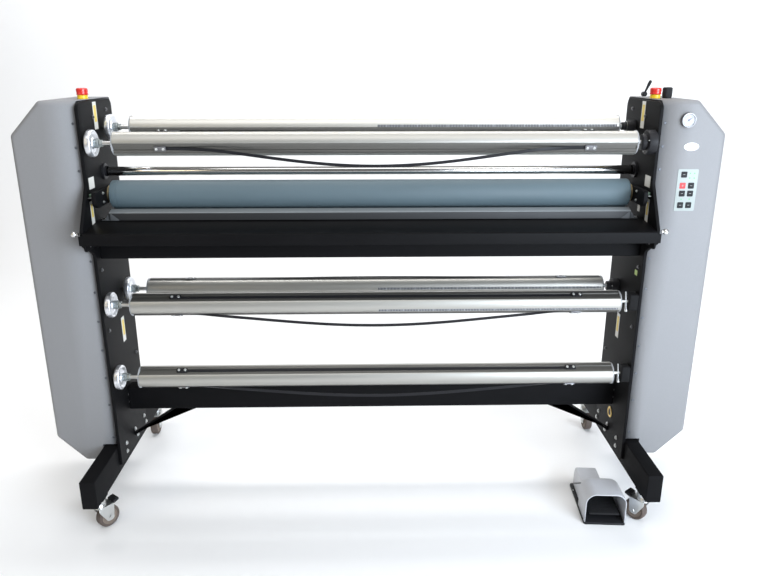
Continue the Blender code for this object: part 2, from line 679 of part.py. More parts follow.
# --- Table -----------------------------------------------------------------------------------
def infeed_table():
    """The sloping sheet table with its front lip and two cheeks, hinged on pins in the plates' noses."""
    pivot_y, pivot_z = TABLE_PIVOT
    slope = (TABLE_REAR_Z - TABLE_FRONT_Z) / (TABLE_REAR - TABLE_FRONT)

    def top(y):
        return TABLE_FRONT_Z + slope * (y - TABLE_FRONT)

    lip_back = TABLE_FRONT + TABLE_SHEET
    lip_foot = TABLE_FRONT_Z - TABLE_LIP
    sheet = [
        (TABLE_REAR, TABLE_REAR_Z - TABLE_SHEET),
        (TABLE_REAR, TABLE_REAR_Z),
        (TABLE_FRONT, TABLE_FRONT_Z),
        (TABLE_FRONT, lip_foot),
        (lip_back, lip_foot),
        (lip_back, top(lip_back) - TABLE_SHEET),
    ]
    at = (0, pivot_y, pivot_z)

    def local(points):
        return [(y - pivot_y, z - pivot_z) for y, z in points]

    table = add("infeed_table", prism(local(sheet), "X", -SPAN, SPAN), "black_powder", at)
    reach = PLATE_IN + TABLE_LIP_REACH
    lip = [
        (lip_back, lip_foot),
        (lip_back, top(lip_back) - TABLE_SHEET / 2),
        (TABLE_FRONT + GAP, TABLE_FRONT_Z - GAP),
        (TABLE_FRONT + GAP, lip_foot),
    ]
    boolean(table, add("lip", prism(local(lip), "X", -reach, reach), "black_powder", at), "UNION")
    cheek = rounded(
        [
            (lip_back - GAP, top(lip_back) - TABLE_SHEET / 2),
            (lip_back - GAP, pivot_z - 2 * TABLE_PIN_RADIUS),
            (pivot_y + 3 * TABLE_PIN_RADIUS, pivot_z - 2 * TABLE_PIN_RADIUS),
            (TABLE_REAR - TABLE_CHEEK_SHORT, top(TABLE_REAR - TABLE_CHEEK_SHORT) - TABLE_SHEET / 2),
        ],
        [0, 0.012, 0.016, 0],
    )
    for side, sign in sides():
        low, high = span(sign, SPAN - TABLE_CHEEK_THICK, SPAN - GAP)
        boolean(table, add(f"cheek_{side}", prism(local(cheek), "X", low, high), "black_powder", at), "UNION")
        low, high = span(sign, SPAN - TABLE_CHEEK_THICK / 2, PLATE_OUT - GAP)
        boolean(table, add(f"pivot_{side}", rod(TABLE_PIN_RADIUS, low, high), "steel", at), "UNION")


def guide_bar():
    """The bar in front of the nip, standing on a foot at each end of the table."""
    slope = (TABLE_REAR_Z - TABLE_FRONT_Z) / (TABLE_REAR - TABLE_FRONT)
    back = GUIDE_BAR_FRONT + GUIDE_BAR_DEPTH
    bottom = TABLE_FRONT_Z + slope * (back - TABLE_FRONT) + GAP
    top = bottom + GUIDE_BAR_HEIGHT
    section = [
        (GUIDE_BAR_FRONT, bottom),
        (back, bottom),
        (back, top - GUIDE_BAR_SHEET),
        (back + GUIDE_BAR_FLANGE, top + GUIDE_BAR_RISE - GUIDE_BAR_SHEET),
        (back + GUIDE_BAR_FLANGE, top + GUIDE_BAR_RISE),
        (GUIDE_BAR_FRONT, top),
    ]
    bar = add("guide_bar", prism(section, "X", -GUIDE_BAR_HALF, GUIDE_BAR_HALF), "steel")
    for side, sign in sides():
        low, high = span(sign, GUIDE_BAR_HALF - FUSE, GUIDE_BAR_HALF + GUIDE_BAR_FOOT)
        foot = box((low, high), (GUIDE_BAR_FRONT, back), (bottom, bottom + GUIDE_BAR_FOOT_SHEET))
        boolean(bar, add(f"bar_foot_{side}", foot, "steel"), "UNION")


def table_knob(side, sign):
    """The ball knob that draws the table's locking pin out, at each end of the lip."""
    end = PLATE_IN + TABLE_LIP_REACH + GAP
    half = KNOB_LENGTH - 2 * KNOB_RADIUS
    profile = [(0, 0), (0, KNOB_STEM), (half, KNOB_STEM)]
    for step in range(1, 7):
        angle = math.pi * (0.12 + 0.88 * step / 6)
        profile.append((half + KNOB_RADIUS * (1 - math.cos(angle)), KNOB_RADIUS * math.sin(angle)))
    profile[-1] = (profile[-1][0], 0)
    flipped = [(sign * along, radius) for along, radius in profile]
    y = TABLE_FRONT + KNOB_RADIUS / 2
    add(f"table_knob_{side}", turned(flipped, steps=16), "zinc", (sign * end, y, TABLE_FRONT_Z), smooth=True)


# --- Castors ---------------------------------------------------------------------------------
def castor(where, side, sign, y, turn):
    """A fork under its plate, a wheel behind the swivel axis and, at the front, a brake pedal."""
    swivel = bpy.data.objects.new(f"swivel_{where}_{side}", None)
    swivel.location = (sign * CASTOR_X, y, 0)
    swivel.rotation_euler = (0, 0, math.radians(turn))
    bpy.context.scene.collection.objects.link(swivel)
    top = FOOT_BOTTOM - CASTOR_PLATE - GAP
    crown = 2 * CASTOR_WHEEL_RADIUS + CASTOR_HEADROOM
    leg_in = CASTOR_WHEEL_WIDTH / 2 + CASTOR_LEG_GAP
    leg_out = leg_in + CASTOR_LEG
    disc = [(crown, 0), (crown, leg_out), (crown + CASTOR_CROWN_CONE, CASTOR_DISC), (top, CASTOR_DISC), (top, 0)]
    fork = add(f"castor_fork_{where}_{side}", turned(disc, "Z"), "zinc", parent=swivel, smooth=True)
    back = CASTOR_TRAIL + CASTOR_BEHIND
    crown_top = crown + CASTOR_CROWN_SHEET
    crown_plate = box((-leg_out, leg_out), (-CASTOR_AHEAD, back), (crown - FUSE, crown_top))
    boolean(fork, add(f"crown_{where}_{side}", crown_plate, "zinc", parent=swivel), "UNION")
    toe, under = CASTOR_LEG_TOE
    outline = rounded(
        [
            (-CASTOR_AHEAD, crown_top - FUSE),
            (CASTOR_TRAIL - toe, CASTOR_WHEEL_RADIUS - under),
            (CASTOR_TRAIL + toe, CASTOR_WHEEL_RADIUS - under),
            (back, crown_top - FUSE),
        ],
        [0, 0.009, 0.009, 0],
    )
    for hand, inner, outer in (("a", leg_in, leg_out), ("b", -leg_out, -leg_in)):
        leg = prism(outline, "X", inner, outer)
        boolean(fork, add(f"leg_{hand}_{where}_{side}", leg, "zinc", parent=swivel), "UNION")
    axle_at = (0, CASTOR_TRAIL, CASTOR_WHEEL_RADIUS)
    nut = leg_out + CASTOR_NUT
    axle = rod(CASTOR_AXLE, -nut, nut, steps=12)
    boolean(fork, add(f"axle_{where}_{side}", axle, "zinc", axle_at, parent=swivel), "UNION")
    bore = CASTOR_AXLE + RUNNING
    half = CASTOR_WHEEL_WIDTH / 2
    tread = CASTOR_WHEEL_RADIUS
    ring = [
        (-half, bore),
        (-half, tread - CASTOR_TREAD_EDGE),
        (-half * 0.55, tread),
        (half * 0.55, tread),
        (half, tread - CASTOR_TREAD_EDGE),
        (half, bore),
    ]
    add(f"castor_wheel_{where}_{side}", turned(ring), "castor_tread", axle_at, parent=swivel, smooth=True)
    if where == "rear":
        return
    pin_y = back + 0.0005
    pin_z = crown_top
    width = leg_out - 0.002
    reach = CASTOR_PEDAL
    pedal = rounded([(0, -0.005), (reach, 0.002), (reach, 0.010), (0, 0.006)], [0.002] * 4, 2)
    name = f"castor_pedal_{side}"
    add(name, prism(pedal, "X", -width, width), "black_plastic", (0, pin_y, pin_z), parent=swivel)


# --- Controls --------------------------------------------------------------------------------
def stop_button(side, sign):
    """An emergency stop: a yellow collar, and a red mushroom head that presses down onto it."""
    base_at = (sign * STOP_X, STOP_Y, MACHINE_HEIGHT + GAP)
    collar = [(0, 0), (0, STOP_BASE_RADIUS), (STOP_BASE_HEIGHT, STOP_BASE_RADIUS * 1.03), (STOP_BASE_HEIGHT, 0)]
    add(f"stop_base_{side}", turned(collar, "Z"), "yellow_plastic", base_at, smooth=True)
    head_at = (base_at[0], base_at[1], base_at[2] + STOP_BASE_HEIGHT + GAP + STOP_TRAVEL)
    radius, height = STOP_HEAD_RADIUS, STOP_HEAD_HEIGHT - STOP_TRAVEL
    head = [
        (0, 0),
        (0, radius * 0.75),
        (height * 0.35, radius * 0.92),
        (height * 0.55, radius),
        (height * 0.85, radius * 0.94),
        (height, radius * 0.70),
        (height, 0),
    ]
    add(f"stop_head_{side}", turned(head, "Z"), "red_plastic", head_at, smooth=True)


def regulator_knob():
    """The black pressure knob on top of the right housing."""
    radius, height = REGULATOR_RADIUS, REGULATOR_HEIGHT
    profile = [
        (0, 0),
        (0, radius * 0.92),
        (height * 0.12, radius * 0.92),
        (height * 0.14, radius),
        (height * 0.96, radius * 0.97),
        (height, radius * 0.90),
        (height, 0),
    ]
    at = (REGULATOR_X, REGULATOR_Y, MACHINE_HEIGHT + GAP)
    add("regulator_knob", turned(profile, "Z"), "black_plastic", at, smooth=True)


def valve_lever():
    """The lever of the hand valve that raises and lowers the upper roller; it swings from side to side."""
    pivot = (VALVE_X, VALVE_Y, MACHINE_HEIGHT + VALVE_PIVOT_Z)
    hub, hub_half = VALVE_HUB
    root, tip, thick = VALVE_BLADE
    length = VALVE_LEVER_LENGTH
    lever = rounded(
        [(-root, 0), (-tip, length), (tip, length), (root, 0)],
        [0, 0.004, 0.004, 0],
    )
    turn = Matrix.Rotation(math.radians(-VALVE_LEAN), 2)
    outline = [tuple(turn @ Vector(point)) for point in lever]
    body = add("valve_lever", rod(hub, -hub_half, hub_half, "Y", 20), "black_plastic", pivot, smooth=True)
    boolean(body, add("lever_blade", prism(outline, "Y", -thick, thick), "black_plastic", pivot), "UNION")


def gauge():
    """The pressure gauge on the right housing's front: a cup with a dial inside it, and its needle."""
    front = HOUSING_FRONT - GAP
    deep = GAUGE_DEPTH
    dial = deep - GAUGE_DIAL_DEPTH
    lip = GAUGE_RADIUS - 0.002
    cup = [
        (0, 0),
        (0, GAUGE_RADIUS),
        (-deep + 0.001, GAUGE_RADIUS),
        (-deep, GAUGE_RADIUS - 0.001),
        (-deep, lip),
        (-dial, lip - 0.0005),
        (-dial, 0),
    ]
    at = (GAUGE_X, front, GAUGE_Z)
    add("gauge_case", turned(cup, "Y"), "chrome", at, smooth=True)
    needle = [(-0.0018, -0.004), (0.0018, -0.004), (0.0005, NEEDLE_LENGTH), (-0.0005, NEEDLE_LENGTH)]
    turn = Matrix.Rotation(math.radians(NEEDLE_ANGLE - 90), 2)
    outline = [tuple(turn @ Vector(point)) for point in needle]
    lift = -dial - GAP
    bm = prism(outline, "Y", lift - 0.0008, lift)
    add("gauge_needle", bm, "black_plastic", at)


def keypad():
    """The membrane keypad on the right housing's front."""
    front = HOUSING_FRONT - GAP
    pad = add("keypad", box(KEYPAD_X, (front - KEYPAD_THICK, front), KEYPAD_Z), "keypad_film")
    bevelled(pad, 0.0004, 1)


def gear_motor():
    """The drive inside the right housing: a gearbox beside the lower roller's journal, and its motor."""
    left = PLATE_OUT + 2 * GAP
    width, depth, height = MOTOR_BOX
    middle = (ROLLER_Y + MOTOR_BEHIND, LOWER_ROLLER_Z)
    bm = box(
        (left, left + width),
        (middle[0] - depth / 2, middle[0] + depth / 2),
        (middle[1] - height / 2, middle[1] + height / 2),
    )
    motor = add("gear_motor", bm, "motor_grey")
    low = middle[1] - height / 2
    at = (left + MOTOR_RADIUS + 0.003, middle[0], 0)
    can = rod(MOTOR_RADIUS, low - MOTOR_LENGTH, low + 0.01, "Z", 20)
    boolean(motor, add("motor_can", can, "motor_grey", at), "UNION")


# --- Foot pedal ------------------------------------------------------------------------------
def foot_pedal():
    """The loose pedal on the floor: base plate, arched hood and the treadle under the hood."""
    home = bpy.data.objects.new("pedal_place", None)
    home.location = (PEDAL_X, PEDAL_FRONT, 0)
    home.rotation_euler = (0, 0, math.radians(PEDAL_TURN))
    bpy.context.scene.collection.objects.link(home)
    half = PEDAL_WIDTH / 2
    slab = rounded([(-half, 0), (half, 0), (half, PEDAL_LENGTH), (-half, PEDAL_LENGTH)], [0.008] * 4, 3)
    add("pedal_base", prism(slab, "Z", 0, PEDAL_BASE), "black_plastic", parent=home)

    low = PEDAL_BASE + GAP
    wall = half - PEDAL_RIM
    arch = [(-wall, low), (-wall, PEDAL_HEIGHT), (wall, PEDAL_HEIGHT), (wall, low)]
    outer = rounded(arch, [0, PEDAL_ARCH, PEDAL_ARCH, 0], 6)
    sheet = PEDAL_SHEET
    inside = [
        (-wall + sheet, low - sheet),
        (-wall + sheet, PEDAL_HEIGHT - sheet),
        (wall - sheet, PEDAL_HEIGHT - sheet),
        (wall - sheet, low - sheet),
    ]
    inner = rounded(inside, [0, PEDAL_ARCH - sheet, PEDAL_ARCH - sheet, 0], 6)
    hood = add("pedal_hood", prism(outer, "Y", 0.002, PEDAL_HOOD_LENGTH), "pedal_silver", parent=home, smooth=True)
    hollow = prism(inner, "Y", -0.01, PEDAL_HOOD_LENGTH - sheet)
    boolean(hood, add("hood_hollow", hollow, "pedal_silver", parent=home), "DIFFERENCE")
    tail = box(PEDAL_TAIL_X, (PEDAL_HOOD_LENGTH - FUSE, PEDAL_LENGTH - PEDAL_RIM), (low, PEDAL_TAIL_TOP))
    boolean(hood, add("hood_tail", tail, "pedal_silver", parent=home), "UNION")

    pivot = (0, PEDAL_HOOD_LENGTH - TREADLE_FROM_BACK, TREADLE_PIVOT_Z)
    rise = math.tan(math.radians(TREADLE_SLOPE)) * TREADLE_LENGTH
    thick = TREADLE_THICK
    plate = [(TREADLE_HEEL, -thick / 2), (TREADLE_HEEL, thick / 2), (-TREADLE_LENGTH, thick / 2 - rise)]
    plate += [(-TREADLE_LENGTH, -thick / 2 - rise)]
    width = TREADLE_WIDTH / 2
    tread = prism(rounded(plate, [0.002] * 4, 2), "X", -width, width)
    add("pedal_treadle", tread, "black_plastic", pivot, parent=home)


def main():
    for obj in list(bpy.data.objects):
        bpy.data.objects.remove(obj, do_unlink=True)
    for side, sign in sides():
        side_plate(side, sign)
        housing(side, sign)
        foot_bar(side, sign)
        table_knob(side, sign)
        stop_button(side, sign)
        castor("front", side, sign, -CASTOR_Y, sign * FRONT_CASTOR_TURN)
        castor("rear", side, sign, CASTOR_Y, 180)
    beams()
    nip()
    for name, (y, z, flat, sag) in SHAFTS.items():
        film_shaft(name, y, z, flat)
        tension_wheel(name, y, z)
        shaft_holder(name, y, z)
        grip_strip(name, y, z, flat, sag)
    infeed_table()
    guide_bar()
    regulator_knob()
    valve_lever()
    gauge()
    keypad()
    gear_motor()
    foot_pedal()


main()
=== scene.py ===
"""A wide cold roll laminator dressed for viewing: covers, rollers, shafts, table, controls and pedal."""

import math

import bmesh
import bpy
import numpy as np
from bpy.props import FloatProperty, FloatVectorProperty
from mathutils import Euler, Matrix, Vector


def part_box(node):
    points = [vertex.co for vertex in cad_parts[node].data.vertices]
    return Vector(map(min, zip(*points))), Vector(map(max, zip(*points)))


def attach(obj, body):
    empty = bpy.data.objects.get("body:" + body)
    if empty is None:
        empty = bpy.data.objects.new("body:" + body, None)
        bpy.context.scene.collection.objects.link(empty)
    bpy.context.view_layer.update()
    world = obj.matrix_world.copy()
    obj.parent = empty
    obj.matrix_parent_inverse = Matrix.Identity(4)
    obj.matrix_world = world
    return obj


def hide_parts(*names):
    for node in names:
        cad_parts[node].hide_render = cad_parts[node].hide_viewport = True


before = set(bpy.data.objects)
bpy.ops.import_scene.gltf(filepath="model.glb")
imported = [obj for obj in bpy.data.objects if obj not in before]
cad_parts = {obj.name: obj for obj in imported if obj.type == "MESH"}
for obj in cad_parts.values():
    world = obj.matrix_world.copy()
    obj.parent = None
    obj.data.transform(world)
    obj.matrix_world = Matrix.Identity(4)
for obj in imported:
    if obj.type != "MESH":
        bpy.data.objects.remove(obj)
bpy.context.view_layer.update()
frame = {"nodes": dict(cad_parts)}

bl_info = {
    "name": "Cold roll laminator",
    "version": (1, 0, 0),
    "blender": (4, 5, 0),
    "location": "View3D > Sidebar > Laminator",
    "description": "Finished pieces and materials of a wide cold roll laminator",
    "category": "Object",
}

# --- Places, in metres, taken from the packed frame ------------------------------------------
SIDES = (("left", -1), ("right", 1))
HOUSING_LOW, HOUSING_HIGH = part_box("housing_right")
PLATE_LOW, PLATE_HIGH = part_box("side_plate_right")
PLATE_IN, PLATE_OUT = PLATE_LOW.x, PLATE_HIGH.x
HOUSING_IN, HOUSING_OUT = HOUSING_LOW.x, HOUSING_HIGH.x
HOUSING_FRONT, HOUSING_REAR = HOUSING_LOW.y, HOUSING_HIGH.y
HOUSING_TOP, HOUSING_BOTTOM = HOUSING_HIGH.z, HOUSING_LOW.z
PLATE_FRONT = HOUSING_FRONT - 0.015
NOSE_FRONT = PLATE_LOW.y
FOOT_LOW, FOOT_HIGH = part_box("foot_bar_right")
FOOT_BOTTOM = FOOT_LOW.z + 0.004
SHAFTS = {
    # name: (y, z, angle of the first flat above the horizontal at the front)
    "upper_front": (-0.1675, 1.256, -22),
    "upper_rear": (0.0125, 1.290, -25),
    "middle_front": (-0.1675, 0.735, -60),
    "middle_rear": (0.0175, 0.732, 88),
    "lower_front": (-0.1675, 0.476, -60),
}
TUBE_RADIUS = 0.038
FLAT_HALF_ANGLE = 28
FLAT_DISTANCE = TUBE_RADIUS * math.cos(math.radians(FLAT_HALF_ANGLE))
GROOVE_WIDTH = 0.012
GROOVE_DEPTH = 0.0030
TUBE_LEFT, TUBE_RIGHT = -0.786, 0.817
CLIP_LEFT, CLIP_RIGHT = -0.640, 0.670
LATCHED = ("middle_front", "lower_front")
NIP_Y, UPPER_NIP_Z = -0.0875, 1.086
IDLER_Y, IDLER_Z = -0.0325, 1.152
RUBBER_HALF = 0.835
CASTOR_Y = 0.335
COVER_WALL = 0.0018
COVER_SCREW_IN = 0.0125
STRIP_WIDE, STRIP_WALL = 0.0098, 0.0022


# --- Surfaces --------------------------------------------------------------------------------
class Shape:
    """Points and faces that can be joined and moved."""

    def __init__(self, points, faces):
        self.points = np.asarray(points, float).reshape(-1, 3)
        self.faces = faces

    def __add__(self, other):
        shift = len(self.points)
        moved = [[index + shift for index in face] for face in other.faces]
        return Shape(np.vstack([self.points, other.points]), self.faces + moved)

    def placed(self, matrix):
        """Every point carried by a 4x4 matrix."""
        matrix = np.array(matrix)
        return Shape(self.points @ matrix[:3, :3].T + matrix[:3, 3], self.faces)


def joined(shapes):
    """One shape out of many."""
    shapes = list(shapes)
    whole = shapes[0]
    for shape in shapes[1:]:
        whole = whole + shape
    return whole


def skin(grid, ring=True, caps=True):
    """Faces over a grid of points (station, place round the section); ring closes the section."""
    stations, count = grid.shape[:2]
    index = np.arange(stations * count).reshape(stations, count)
    nxt = np.roll(index, -1, axis=1) if ring else index[:, 1:]
    now = index if ring else index[:, :-1]
    quads = np.stack([now[:-1], nxt[:-1], nxt[1:], now[1:]], axis=-1).reshape(-1, 4).tolist()
    if ring and caps:
        quads += [index[0, ::-1].tolist(), index[-1].tolist()]
    return Shape(grid.reshape(-1, 3), quads)


def to_axis(a, b, w, axis):
    """Section coordinates (a, b) and w along the axis: X takes (y, z), Y takes (x, z), Z takes (x, y)."""
    order = {"X": (w, a, b), "Y": (a, w, b), "Z": (a, b, w)}[axis]
    return np.stack(np.broadcast_arrays(*order), axis=-1)


def anticlockwise(outline):
    outline = np.asarray(outline, float)
    x, y = outline.T
    area = np.sum(x * np.roll(y, -1) - np.roll(x, -1) * y)
    return outline if area > 0 else outline[::-1]


def corners(points, radii, steps=6):
    """An outline with arcs for corners, each touching both edges at radius / tan(half the angle)."""
    points = np.asarray(points, float)
    radii = np.broadcast_to(np.asarray(radii, float), len(points))
    outline = []
    for corner, before, after, radius in zip(points, np.roll(points, 1, 0), np.roll(points, -1, 0), radii):
        if radius == 0:
            outline.append(corner[None])
            continue
        one = (before - corner) / np.linalg.norm(before - corner)
        two = (after - corner) / np.linalg.norm(after - corner)
        half = math.acos(np.clip(one @ two, -1, 1)) / 2
        centre = corner + (one + two) / np.linalg.norm(one + two) * radius / math.sin(half)
        first = corner + one * radius / math.tan(half) - centre
        last = corner + two * radius / math.tan(half) - centre
        sweep = math.atan2(first[0] * last[1] - first[1] * last[0], first @ last)
        angle = sweep * np.linspace(0, 1, steps + 1)
        turn = np.stack([np.cos(angle), -np.sin(angle), np.sin(angle), np.cos(angle)], -1).reshape(-1, 2, 2)
        outline.append(centre + turn @ first)
    return np.vstack(outline)


def inset(outline, depth):
    """An anticlockwise outline drawn inwards along its mitres: (n1 + n2) / (1 + n1.n2) times the depth."""
    before = outline - np.roll(outline, 1, axis=0)
    after = np.roll(outline, -1, axis=0) - outline
    n1, n2 = (np.stack([-edge[:, 1], edge[:, 0]], 1) / np.linalg.norm(edge, axis=1)[:, None]
        for edge in (before, after))
    return outline + depth * (n1 + n2) / (1 + np.sum(n1 * n2, axis=1))[:, None]


def slab(outline, axis, low, high, edge=0.0006, steps=3):
    """An outline pushed along an axis; each end's rim draws in by edge * (1 - sin) over a quarter circle."""
    outline = anticlockwise(outline)
    angle = np.linspace(0, math.pi / 2, steps + 1)
    draw = edge * (1 - np.sin(angle))
    go = edge * (1 - np.cos(angle))
    insets = np.concatenate([draw, draw[::-1]])
    along = np.concatenate([low + go, high - go[::-1]])
    rings = np.stack([inset(outline, depth) for depth in insets])
    return skin(to_axis(rings[..., 0], rings[..., 1], along[:, None], axis))


def block(x, y, z, edge=0.0008, corner=0.0, axis="Z", steps=3):
    """A rounded box: a rectangle with corner arcs across an axis, its ends rounded by slab."""
    spans = {"X": (y, z, x), "Y": (x, z, y), "Z": (x, y, z)}[axis]
    (a0, a1), (b0, b1), (w0, w1) = spans
    outline = corners([(a0, b0), (a1, b0), (a1, b1), (a0, b1)], corner or edge, 4)
    return slab(outline, axis, w0, w1, edge, steps)


def turned(profile, axis="X", at=(0, 0, 0), steps=48, wobble=None):
    """A profile of (along, radius) turned about an axis: the point at angle t lies at radius * wobble(t)."""
    profile = np.asarray(profile, float)
    angle = np.arange(steps) * math.tau / steps
    factor = np.ones_like(angle)[None] if wobble is None else wobble(angle)[None] * np.ones((len(profile), 1))
    if wobble is not None:
        rim = profile[:, 1].max()
        weight = np.clip((profile[:, 1] / rim - 0.7) / 0.3, 0, 1)[:, None]
        factor = 1 + (factor - 1) * weight
    radius = profile[:, 1][:, None] * factor
    a, b = radius * np.cos(angle), radius * np.sin(angle)
    grid = to_axis(a, b, profile[:, 0][:, None] * np.ones_like(angle), axis)
    if profile[0, 1] > 0 and profile[-1, 1] > 0:
        grid = np.concatenate([grid, grid[:1]])
    return skin(grid + np.array(at), caps=False)


def arc(centre, radius, start, stop, steps=8):
    """Points of an arc in a profile's own plane, angles in degrees."""
    angle = np.radians(np.linspace(start, stop, steps + 1))
    return np.stack([centre[0] + radius * np.cos(angle), centre[1] + radius * np.sin(angle)], 1)


def screw_head(at, axis, sign, radius=0.0045, height=0.0028):
    """A pan head with a hexagon socket, standing out along an axis."""
    profile = np.array([
        (0, 0), (0, radius), (height * 0.55, radius), (height * 0.9, radius * 0.85), (height, radius * 0.62),
        (height, radius * 0.5), (height * 0.35, radius * 0.45), (height * 0.35, 0),
    ])
    return turned(profile * (sign, 1), axis, at, 12)


def span(sign, near, far):
    """The low and high X of something between two distances from the middle, on the side of sign."""
    return tuple(sorted((sign * near, sign * far)))


def middle_of(low, high):
    return tuple((low + high) / 2)


def washer_bolt(at, axis, sign, radius=0.008, height=0.005):
    """A hexagon bolt head on a washer."""
    washer = turned(np.array([(0, 0), (0, radius), (height * 0.25, radius),
        (height * 0.25, 0)]) * (sign, 1), axis, at, 20)
    start = height * 0.25
    head = [(start, 0), (start, radius * 0.72), (height * 0.9, radius * 0.72), (height, radius * 0.62),
        (height, 0)]
    return washer + turned(np.array(head) * (sign, 1), axis, at, 6)


def piece(name, shape, finish, body="frame", replaces=(), sharp=32, wall=0.0):
    """Makes a shape an object: doubles merged, faces outwards, smooth but for sharp edges, on its body."""
    mesh = bpy.data.meshes.new(name)
    mesh.from_pydata(shape.points.tolist(), [], shape.faces)
    work = bmesh.new()
    work.from_mesh(mesh)
    bmesh.ops.remove_doubles(work, verts=work.verts, dist=2e-6)
    bmesh.ops.dissolve_degenerate(work, edges=work.edges, dist=1e-7)
    bmesh.ops.recalc_face_normals(work, faces=work.faces)
    work.to_mesh(mesh)
    work.free()
    mesh.shade_smooth()
    mesh.set_sharp_from_angle(angle=math.radians(sharp))
    mesh.materials.append(finish)
    obj = bpy.data.objects.new(name, mesh)
    bpy.context.scene.collection.objects.link(obj)
    if wall:
        solidify = obj.modifiers.new("Sheet thickness", "SOLIDIFY")
        solidify.thickness = wall
        solidify.offset = -1
    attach(obj, body)
    if replaces:
        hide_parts(*replaces)
    return obj


# --- Finishes --------------------------------------------------------------------------------
class Number:
    """A value in a material's nodes; arithmetic on it adds Math nodes."""

    def __init__(self, finish, link):
        self.finish = finish
        self.link = link

    def math(self, operation, *others):
        return self.finish.node("ShaderNodeMath", {"operation": operation}, dict(enumerate((self, *others))))

    def __add__(self, other):
        return self.math("ADD", other)

    def __sub__(self, other):
        return self.math("SUBTRACT", other)

    def __mul__(self, other):
        return self.math("MULTIPLY", other)

    def __truediv__(self, other):
        return self.math("DIVIDE", other)

    def __rsub__(self, other):
        return (self * -1) + other

    __radd__ = __add__
    __rmul__ = __mul__

    def below(self, edge, soft=0.0):
        """1 under the edge, 0 over it, with a ramp of width soft."""
        if not soft:
            return self.math("LESS_THAN", edge)
        return ((edge - self) / soft + 0.5).clamped()

    def clamped(self):
        return self.math("MAXIMUM", 0.0).math("MINIMUM", 1.0)


class Finish:
    """A material and its Principled shader, with one method that adds any node."""

    def __init__(self, name, colour, roughness, metallic=0.0, coat=0.0):
        self.material = bpy.data.materials.new(name)
        self.material.use_nodes = True
        self.tree = self.material.node_tree
        self.shader = self.tree.nodes["Principled BSDF"]
        self.set("Base Color", (*colour, 1.0))
        self.set("Roughness", roughness)
        self.set("Metallic", metallic)
        self.set("Coat Weight", coat)

    def feed(self, socket, value):
        if isinstance(value, Number):
            self.tree.links.new(value.link, socket)
        else:
            socket.default_value = value

    def set(self, name, value):
        self.feed(self.shader.inputs[name], value)

    def node(self, kind, settings=None, inputs=None, output=0):
        made = self.tree.nodes.new(kind)
        for key, value in (settings or {}).items():
            setattr(made, key, value)
        for key, value in (inputs or {}).items():
            self.feed(made.inputs[key], value)
        return Number(self, made.outputs[output])

    def place(self, scale=(1, 1, 1)):
        """Object coordinates, stretched."""
        here = self.node("ShaderNodeTexCoord", output="Object")
        return self.node("ShaderNodeMapping", None, {"Vector": here, "Scale": scale})

    def noise(self, scale, detail=2.0, stretch=(1, 1, 1), roughness=0.5):
        inputs = {"Vector": self.place(stretch), "Scale": scale, "Detail": detail, "Roughness": roughness}
        return self.node("ShaderNodeTexNoise", None, inputs)

    def along(self, letter):
        """One of the Object coordinates, in metres."""
        here = self.node("ShaderNodeTexCoord", output="Object")
        return self.node("ShaderNodeSeparateXYZ", None, {0: here}, output="XYZ".index(letter))

    def mix(self, factor, one, two):
        colour = lambda value: value if isinstance(value, Number) else (*value, 1.0)
        inputs = {0: factor, 6: colour(one), 7: colour(two)}
        return self.node("ShaderNodeMix", {"data_type": "RGBA"}, inputs, output=2)

    def bump(self, height, strength, distance):
        inputs = {"Height": height, "Strength": strength, "Distance": distance}
        self.set("Normal", self.node("ShaderNodeBump", None, inputs))


FINISHES = {}


def made_once(build):
    """A finish is made the first time that it is asked for."""

    def get(*words):
        key = (build.__name__, *words)
        if key not in FINISHES:
            FINISHES[key] = build(*words).material
        return FINISHES[key]

    return get


def tone(colour, factor):
    return tuple(channel * factor for channel in colour)


def palette():
    return bpy.context.scene.laminator_colours


@made_once
def silver_powder():
    """Silver powder coat: metallic fleck, a fine orange peel and faint handling marks."""
    colour = tuple(palette().cover)
    finish = Finish("silver_powder_coat", colour, 0.55, 0.08)
    fleck = finish.noise(1400, 1.0)
    cloud = finish.noise(2.2, 3.0)
    base = finish.mix(fleck.math("POWER", 2.0), tone(colour, 0.78), tone(colour, 1.30))
    finish.set("Base Color", finish.mix(cloud * 0.35, base, tone(colour, 0.86)))
    finish.set("Roughness", 0.52 + cloud * 0.10 + fleck * 0.06)
    finish.bump(finish.noise(520, 2.0), 0.18, 0.0004)
    return finish


@made_once
def black_powder(name, roughness):
    """Black powder coat with a fine grain, a little dust on it."""
    colour = tuple(palette().frame)
    finish = Finish(name, colour, roughness)
    finish.set("Specular IOR Level", 0.08)
    dust = finish.noise(5.0, 5.0, roughness=0.62)
    fine = finish.noise(900, 1.0)
    finish.set("Base Color", finish.mix(dust.math("POWER", 3.0) * 0.5, colour, (0.016, 0.016, 0.018)))
    finish.set("Roughness", roughness - 0.06 + dust * 0.14)
    finish.bump(fine, 0.25, 0.0003)
    return finish


@made_once
def roller_rubber():
    """Ground rubber: rings left by the grinding wheel, dusty patches and a chalky bloom."""
    colour = tuple(palette().rubber)
    finish = Finish("ground_rubber", colour, 0.58)
    rings = finish.noise(60, 2.0, (14, 0.2, 0.2))
    dust = finish.noise(9, 4.0, (0.35, 1.5, 1.5))
    finish.set("Base Color", finish.mix(dust * 0.55 + rings * 0.2, tone(colour, 0.86), tone(colour, 1.28)))
    finish.set("Roughness", 0.46 + dust * 0.2 + rings * 0.08)
    finish.bump(rings, 0.10, 0.0003)
    return finish


